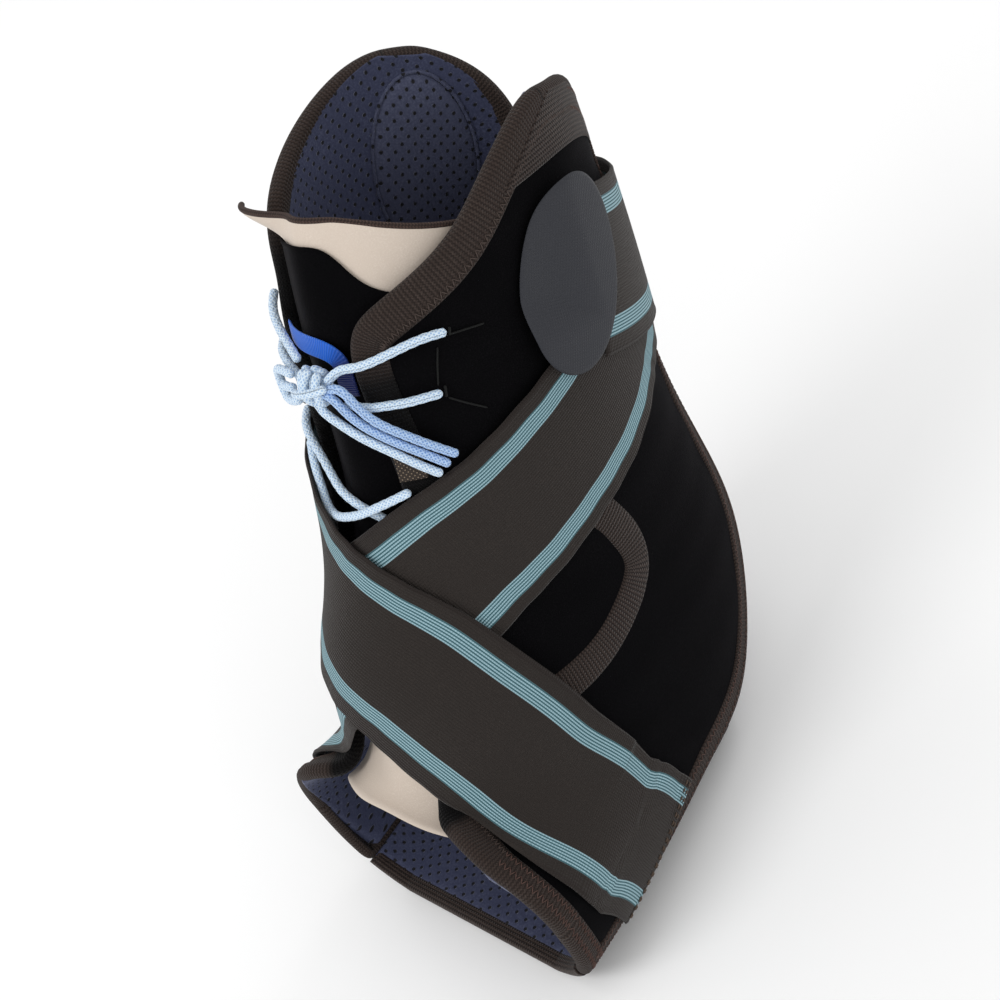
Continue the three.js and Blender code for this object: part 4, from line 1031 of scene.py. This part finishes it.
tongueNear, tongueFar, tongueRise, tongueSink = (splineThrough(tongue["u"], tongue[key])
                                                 for key in ("nearDeg", "farDeg", "rise", "sink"))


def tongueHeight(u, deg):
    g = tongue
    middle = 1 - smoothStep(np.abs(deg), 0, g["shoulderDeg"])
    corner = smoothStep(-deg, *g["flareDeg"])
    top = 1 - smoothStep(u - g["u"][0], 0, g["flareLength"])
    return g["underPanels"] - tongueSink(u) + tongueRise(u) * middle + g["flare"] * corner * top


def tongueTop(share):
    # the top edge, a little lower on the near side
    return tongue["u"][0] + tongue["nearDip"] * smoothStep(share, 0.5, 1)


def tonguePad(rows=200, columns=90):
    g = tongue
    share = np.linspace(0, 1, columns)[None]
    u = blend(tongueTop(share), g["u"][-1], np.linspace(0, 1, rows)[:, None] ** 1.15)
    deg = blend(-tongueFar(u), tongueNear(u), share)
    height = tongueHeight(u, deg) + g["ripple"] * np.sin(u * 60 + deg * 0.09)
    return shellPiece("tongue_pad", u, deg, height, height - g["wall"], 0.8)


def tongueRim(columns=160):
    # a narrow rolled edging along the tongue's top
    inset, radius = tongue["edging"]
    share = np.linspace(0, 1, columns)
    u = tongueTop(share)
    deg = blend(-tongueFar(u), tongueNear(u), share)
    u = u + inset
    middle = above(u, deg, tongueHeight(u, deg) - tongue["wall"] / 2)
    return tubeMesh("tongue_rolled_edge", middle, radius, 14)


def tongueCover(rows=130, columns=90):
    g = tongue
    down, share = gridShares(rows, columns)
    degAt = lambda u: g["coverShare"] * blend(-tongueFar(u), tongueNear(u), share)
    top = splineThrough(g["coverDeg"], g["coverU"])(degAt(g["coverU"][0]))
    u = blend(top, g["coverBottom"], down)
    deg = degAt(u)
    height = tongueHeight(u, deg) + g["coverGap"]
    return shellPiece("tongue_cover_cloth", u, deg, height + g["coverWall"], height, 0.8)


tonguePiece = dress(tonguePad(), materials["tongue"], "tongue", "tongue")
dress(tongueRim(), materials["edging"], "brown_binding", "tongue_edge")
coverPiece = dress(tongueCover(), materials["velvet"], "velvet", "tongue_cover")

# laces: places (u, degrees) and the centre's height above the form
laces = {
    "lace_upper_near": ((0.351, 14.5, 1.6), (0.346, 21, 2.1), (0.338, 29, 2.2), (0.328, 37, 2.1),
                        (0.32, 45, 2), (0.317, 52, 1.9)),
    "lace_lower_near": ((0.392, 19, 1.9), (0.391, 28, 2), (0.389, 35, 2), (0.386, 41, 2), (0.384, 46, 1.9)),
    "lace_upper_far": ((0.3, -46, 2.1), (0.311, -40, 2), (0.327, -29, 0.6), (0.34, -19, -0.3),
                       (0.352, -9, 0.2)),
    "lace_lower_far": ((0.352, -47, 2), (0.359, -36, 1.9), (0.366, -24, 0.6), (0.371, -9, 0.8)),
    "bow_end_a": ((0.366, 15, 5.2), (0.383, 19, 5.1), (0.403, 24, 4.9), (0.419, 30.5, 4.3),
                  (0.436, 38, 3.7), (0.451, 45, 3.4)),
    "bow_end_b": ((0.377, 11, 4.8), (0.394, 15, 4.6), (0.414, 21.5, 4.3), (0.431, 29, 3.9),
                  (0.446, 36, 3.6), (0.46, 42, 3.4)),
    "bow_end_c": ((0.394, 4.5, 4), (0.405, 9, 4), (0.423, 17.5, 4), (0.44, 26, 3.8), (0.455, 32.5, 3.5),
                  (0.469, 39, 3.4)),
    "bow_loop_far": ((0.359, -6, 4.2), (0.359, -13, 4.3), (0.366, -21, 4.3), (0.38, -25, 4.2),
                     (0.393, -21, 4.1), (0.394, -12, 4.1), (0.388, -6, 4.1)),
    "bow_end_far": ((0.374, -7, 4.4), (0.377, -12, 4.5), (0.379, -18, 4.5)),
    "lace_cross_far": ((0.442, -46, 2.3), (0.452, -39.5, 2.5), (0.471, -28, 0), (0.488, -19, -1.5),
                       (0.5, -11, -1.8), (0.507, -1, -1.7), (0.513, 7, -1.7), (0.52, 14, -2.2)),
    "lace_cross_near": ((0.485, 27.5, 2.2), (0.492, 22, 2), (0.502, 14, 1.5), (0.512, 5, 1.2),
                        (0.519, -4, 1.1), (0.522, -11, 1.2), (0.518, -18, 1.4), (0.505, -23, 1.6),
                        (0.487, -29, 1.9), (0.468, -36.5, 2.1)),
}
# strands tied into the knot start inside it
knotStarts = {"lace_upper_near": (0.364, 8.5, 3), "lace_lower_near": (0.386, 13.5, 2.4),
              "bow_end_a": (0.371, 8.5, 3.6), "bow_end_b": (0.373, 5, 3.6), "bow_end_c": (0.384, 1, 3)}
laceLook = {"radius": 1.3, "step": 0.3, "braid": {"strands": 12, "pitch": 3.2, "depth": 0.14}}
knot = {"u": 0.371, "deg": 2.5, "lift": 2.2, "radius": 1.3,
        "wraps": ((-3.3, 0.25, 4.4, 3.1), (-0.5, -0.2, 4.8, 3.4), (2.4, 0.15, 4.3, 3.2)),
        "over": {"reach": 6.6, "drop": 1.8, "crown": 4.8, "bend": 0.75}}


def smoothPath(points, step):
    # an evenly spaced smooth path through points
    along = arcLengths(points)
    even = np.arange(0, along[-1] + step / 2, step)
    return np.stack([splineThrough(along, points[:, k])(even) for k in range(3)], -1)


def laceStrand(name, points):
    u, deg, height = np.array(points).T
    path = smoothPath(above(u, deg, height), laceLook["step"])
    return tubeMesh(name + "_braid", path, laceLook["radius"], 28, laceLook["braid"])


def knotWraps():
    # three turns of lace round the crossing, and one strand laid over them
    k = knot
    u, deg = np.array(k["u"]), np.array(k["deg"])
    out = outward(u, deg)
    around = unit(slopes(u, deg)[1])
    down = np.cross(out, around)
    centre = above(u, deg, k["lift"])
    angle = np.linspace(0, 2 * math.pi, 90)[:, None]
    paths = []
    for shift, lean, halfDown, halfOut in k["wraps"]:
        sweep = around * (shift + lean * 4 * np.sin(angle))
        paths.append(centre + sweep + down * halfDown * np.cos(angle) + out * halfOut * np.sin(angle))
    over = k["over"]
    t = np.linspace(-1, 1, 60)[:, None]
    arch = out * over["crown"] * np.sqrt(1 - over["bend"] * t * t)
    paths.append(centre + around * over["reach"] * t + down * over["drop"] * t + arch)
    return [tubeMesh(f"knot_turn_{i}", path, k["radius"], 24, laceLook["braid"])
            for i, path in enumerate(paths)]


for name, points in laces.items():
    start = (knotStarts[name],) if name in knotStarts else ()
    look = materials["bowLace" if name in ("bow_end_a", "bow_end_b") else "lace"]
    dress(laceStrand(name, start + points), look, "lace", name)
turns = knotWraps()
dress(turns[0], materials["lace"], "lace", "lace_knot")
for turn in turns[1:]:
    dress(turn, materials["lace"], "lace")

# woven loops that carry the lace, and the bright tape behind the knot
loops = {"near": (0.456, 29.5), "far": (0.41, -44), "width": 8, "length": 11, "low": 0.7, "wall": 1.0}
blueTape = {"u": (0.33, 0.334, 0.336, 0.339, 0.347, 0.36, 0.376, 0.39),
            "deg": (-25, -14, -3, 5, 10.5, 12.2, 12.3, 12.3),
            "width": 6.4, "low": -3.1, "wall": 0.8}


def tapePatch(name, us, degs, width, high, low, rows, columns):
    # a piece of tape along a path on the form
    share = np.linspace(0, 1, len(us))
    uAt, degAt = splineThrough(share, us), splineThrough(share, degs)
    t, across = gridShares(rows, columns, -width / 2, width / 2)
    u, deg = uAt(t), degAt(t)
    forward = unit(skin(uAt(t + 0.01), degAt(t + 0.01)) - skin(uAt(t - 0.01), degAt(t - 0.01)))
    u, deg = walk(u, deg, unit(np.cross(forward, outward(u, deg))), across)
    return shellPiece(name, u, deg, high, low, 0.5)


# faint seams on the velvet round the lace slits, on both sides
seams = {"lines": (((0.323, 53), (0.321, 58), (0.319, 64)), ((0.335, 48.5), (0.355, 47), (0.378, 45.5)),
                   ((0.393, 47.5), (0.402, 52), (0.413, 58))),
         "slits": (((0.315, 53.5), (0.324, 53)), ((0.379, 47.5), (0.392, 47))), "lift": 0.32, "thread": 0.28,
         "shift": {"near": 0, "far": 8}}


def seamLines(side, key, thread):
    runs = []
    for points in seams[key]:
        u, deg = np.array(points).T
        t, even = np.linspace(0, 1, len(u)), np.linspace(0, 1, 24)
        uAt, degAt = (np.interp(even, t, values) for values in (u, deg))
        runs.append(above(uAt, sideSign[side] * (degAt + seams["shift"][side]), seams["lift"]))
    return threadMesh("velvet_" + key + "_" + side, runs, thread)


for side in ("near", "far"):
    dress(seamLines(side, "lines", seams["thread"]), materials["seam"], "velvet")
    dress(seamLines(side, "slits", 1.5 * seams["thread"]), materials["seam"], "velvet")
    u, deg = loops[side]
    half = loops["length"] / form["legTop"] / 2
    low, high = loops["low"], loops["low"] + loops["wall"]
    patch = tapePatch("web_loop_" + side, (u - half, u, u + half), (deg,) * 3, loops["width"], high, low,
                      40, 28)
    dress(patch, materials["webLoop"], "webbing", "lace_loop_" + side)
b = blueTape
tape = tapePatch("blue_tape", b["u"], b["deg"], b["width"], b["low"] + b["wall"], b["low"], 90, 36)
dress(tape, materials["blue"], "pull_tab", "pull_tab")
print("tongue and laces ready")

# floor, soft studio light and a pale surround
studio = {"floor": (0.97, 0.97, 0.97, 1), "surround": 0.7,
          "lamps": {"key": ((-0.15, -0.75, 0.85), 0.5, 3.4), "fill": ((0.85, -0.15, 0.55), 0.7, 1.4),
                    "rear": ((0.1, 0.8, 0.75), 0.6, 1.6), "far": ((-0.85, 0.1, 0.5), 0.5, 1.2)}}


def makeStudio(settings):
    bpy.ops.mesh.primitive_plane_add(size=12, location=(0, 0, -0.0006))
    floor = bpy.context.object
    floor.name = "floor"
    material, _, shader = newMaterial("pale floor", roughness=0.9, specular=0.1)
    shader.inputs["Base Color"].default_value = settings["floor"]
    floor.data.materials.append(material)
    for name, (at, size, power) in settings["lamps"].items():
        data = bpy.data.lights.new(name, "AREA")
        data.shape, data.size, data.energy = "DISK", size, power
        lamp = bpy.data.objects.new(name, data)
        lamp.location = at
        lamp.rotation_euler = (Vector((0, 0, 0.1)) - Vector(at)).to_track_quat("-Z", "Y").to_euler()
        scene.collection.objects.link(lamp)
    world = bpy.data.worlds.new("surround")
    world.use_nodes = True
    world.node_tree.nodes["Background"].inputs["Color"].default_value = (1, 1, 1, 1)
    world.node_tree.nodes["Background"].inputs["Strength"].default_value = settings["surround"]
    scene.world = world
    scene.view_settings.view_transform = "Standard"


makeStudio(studio)
print("scene ready")
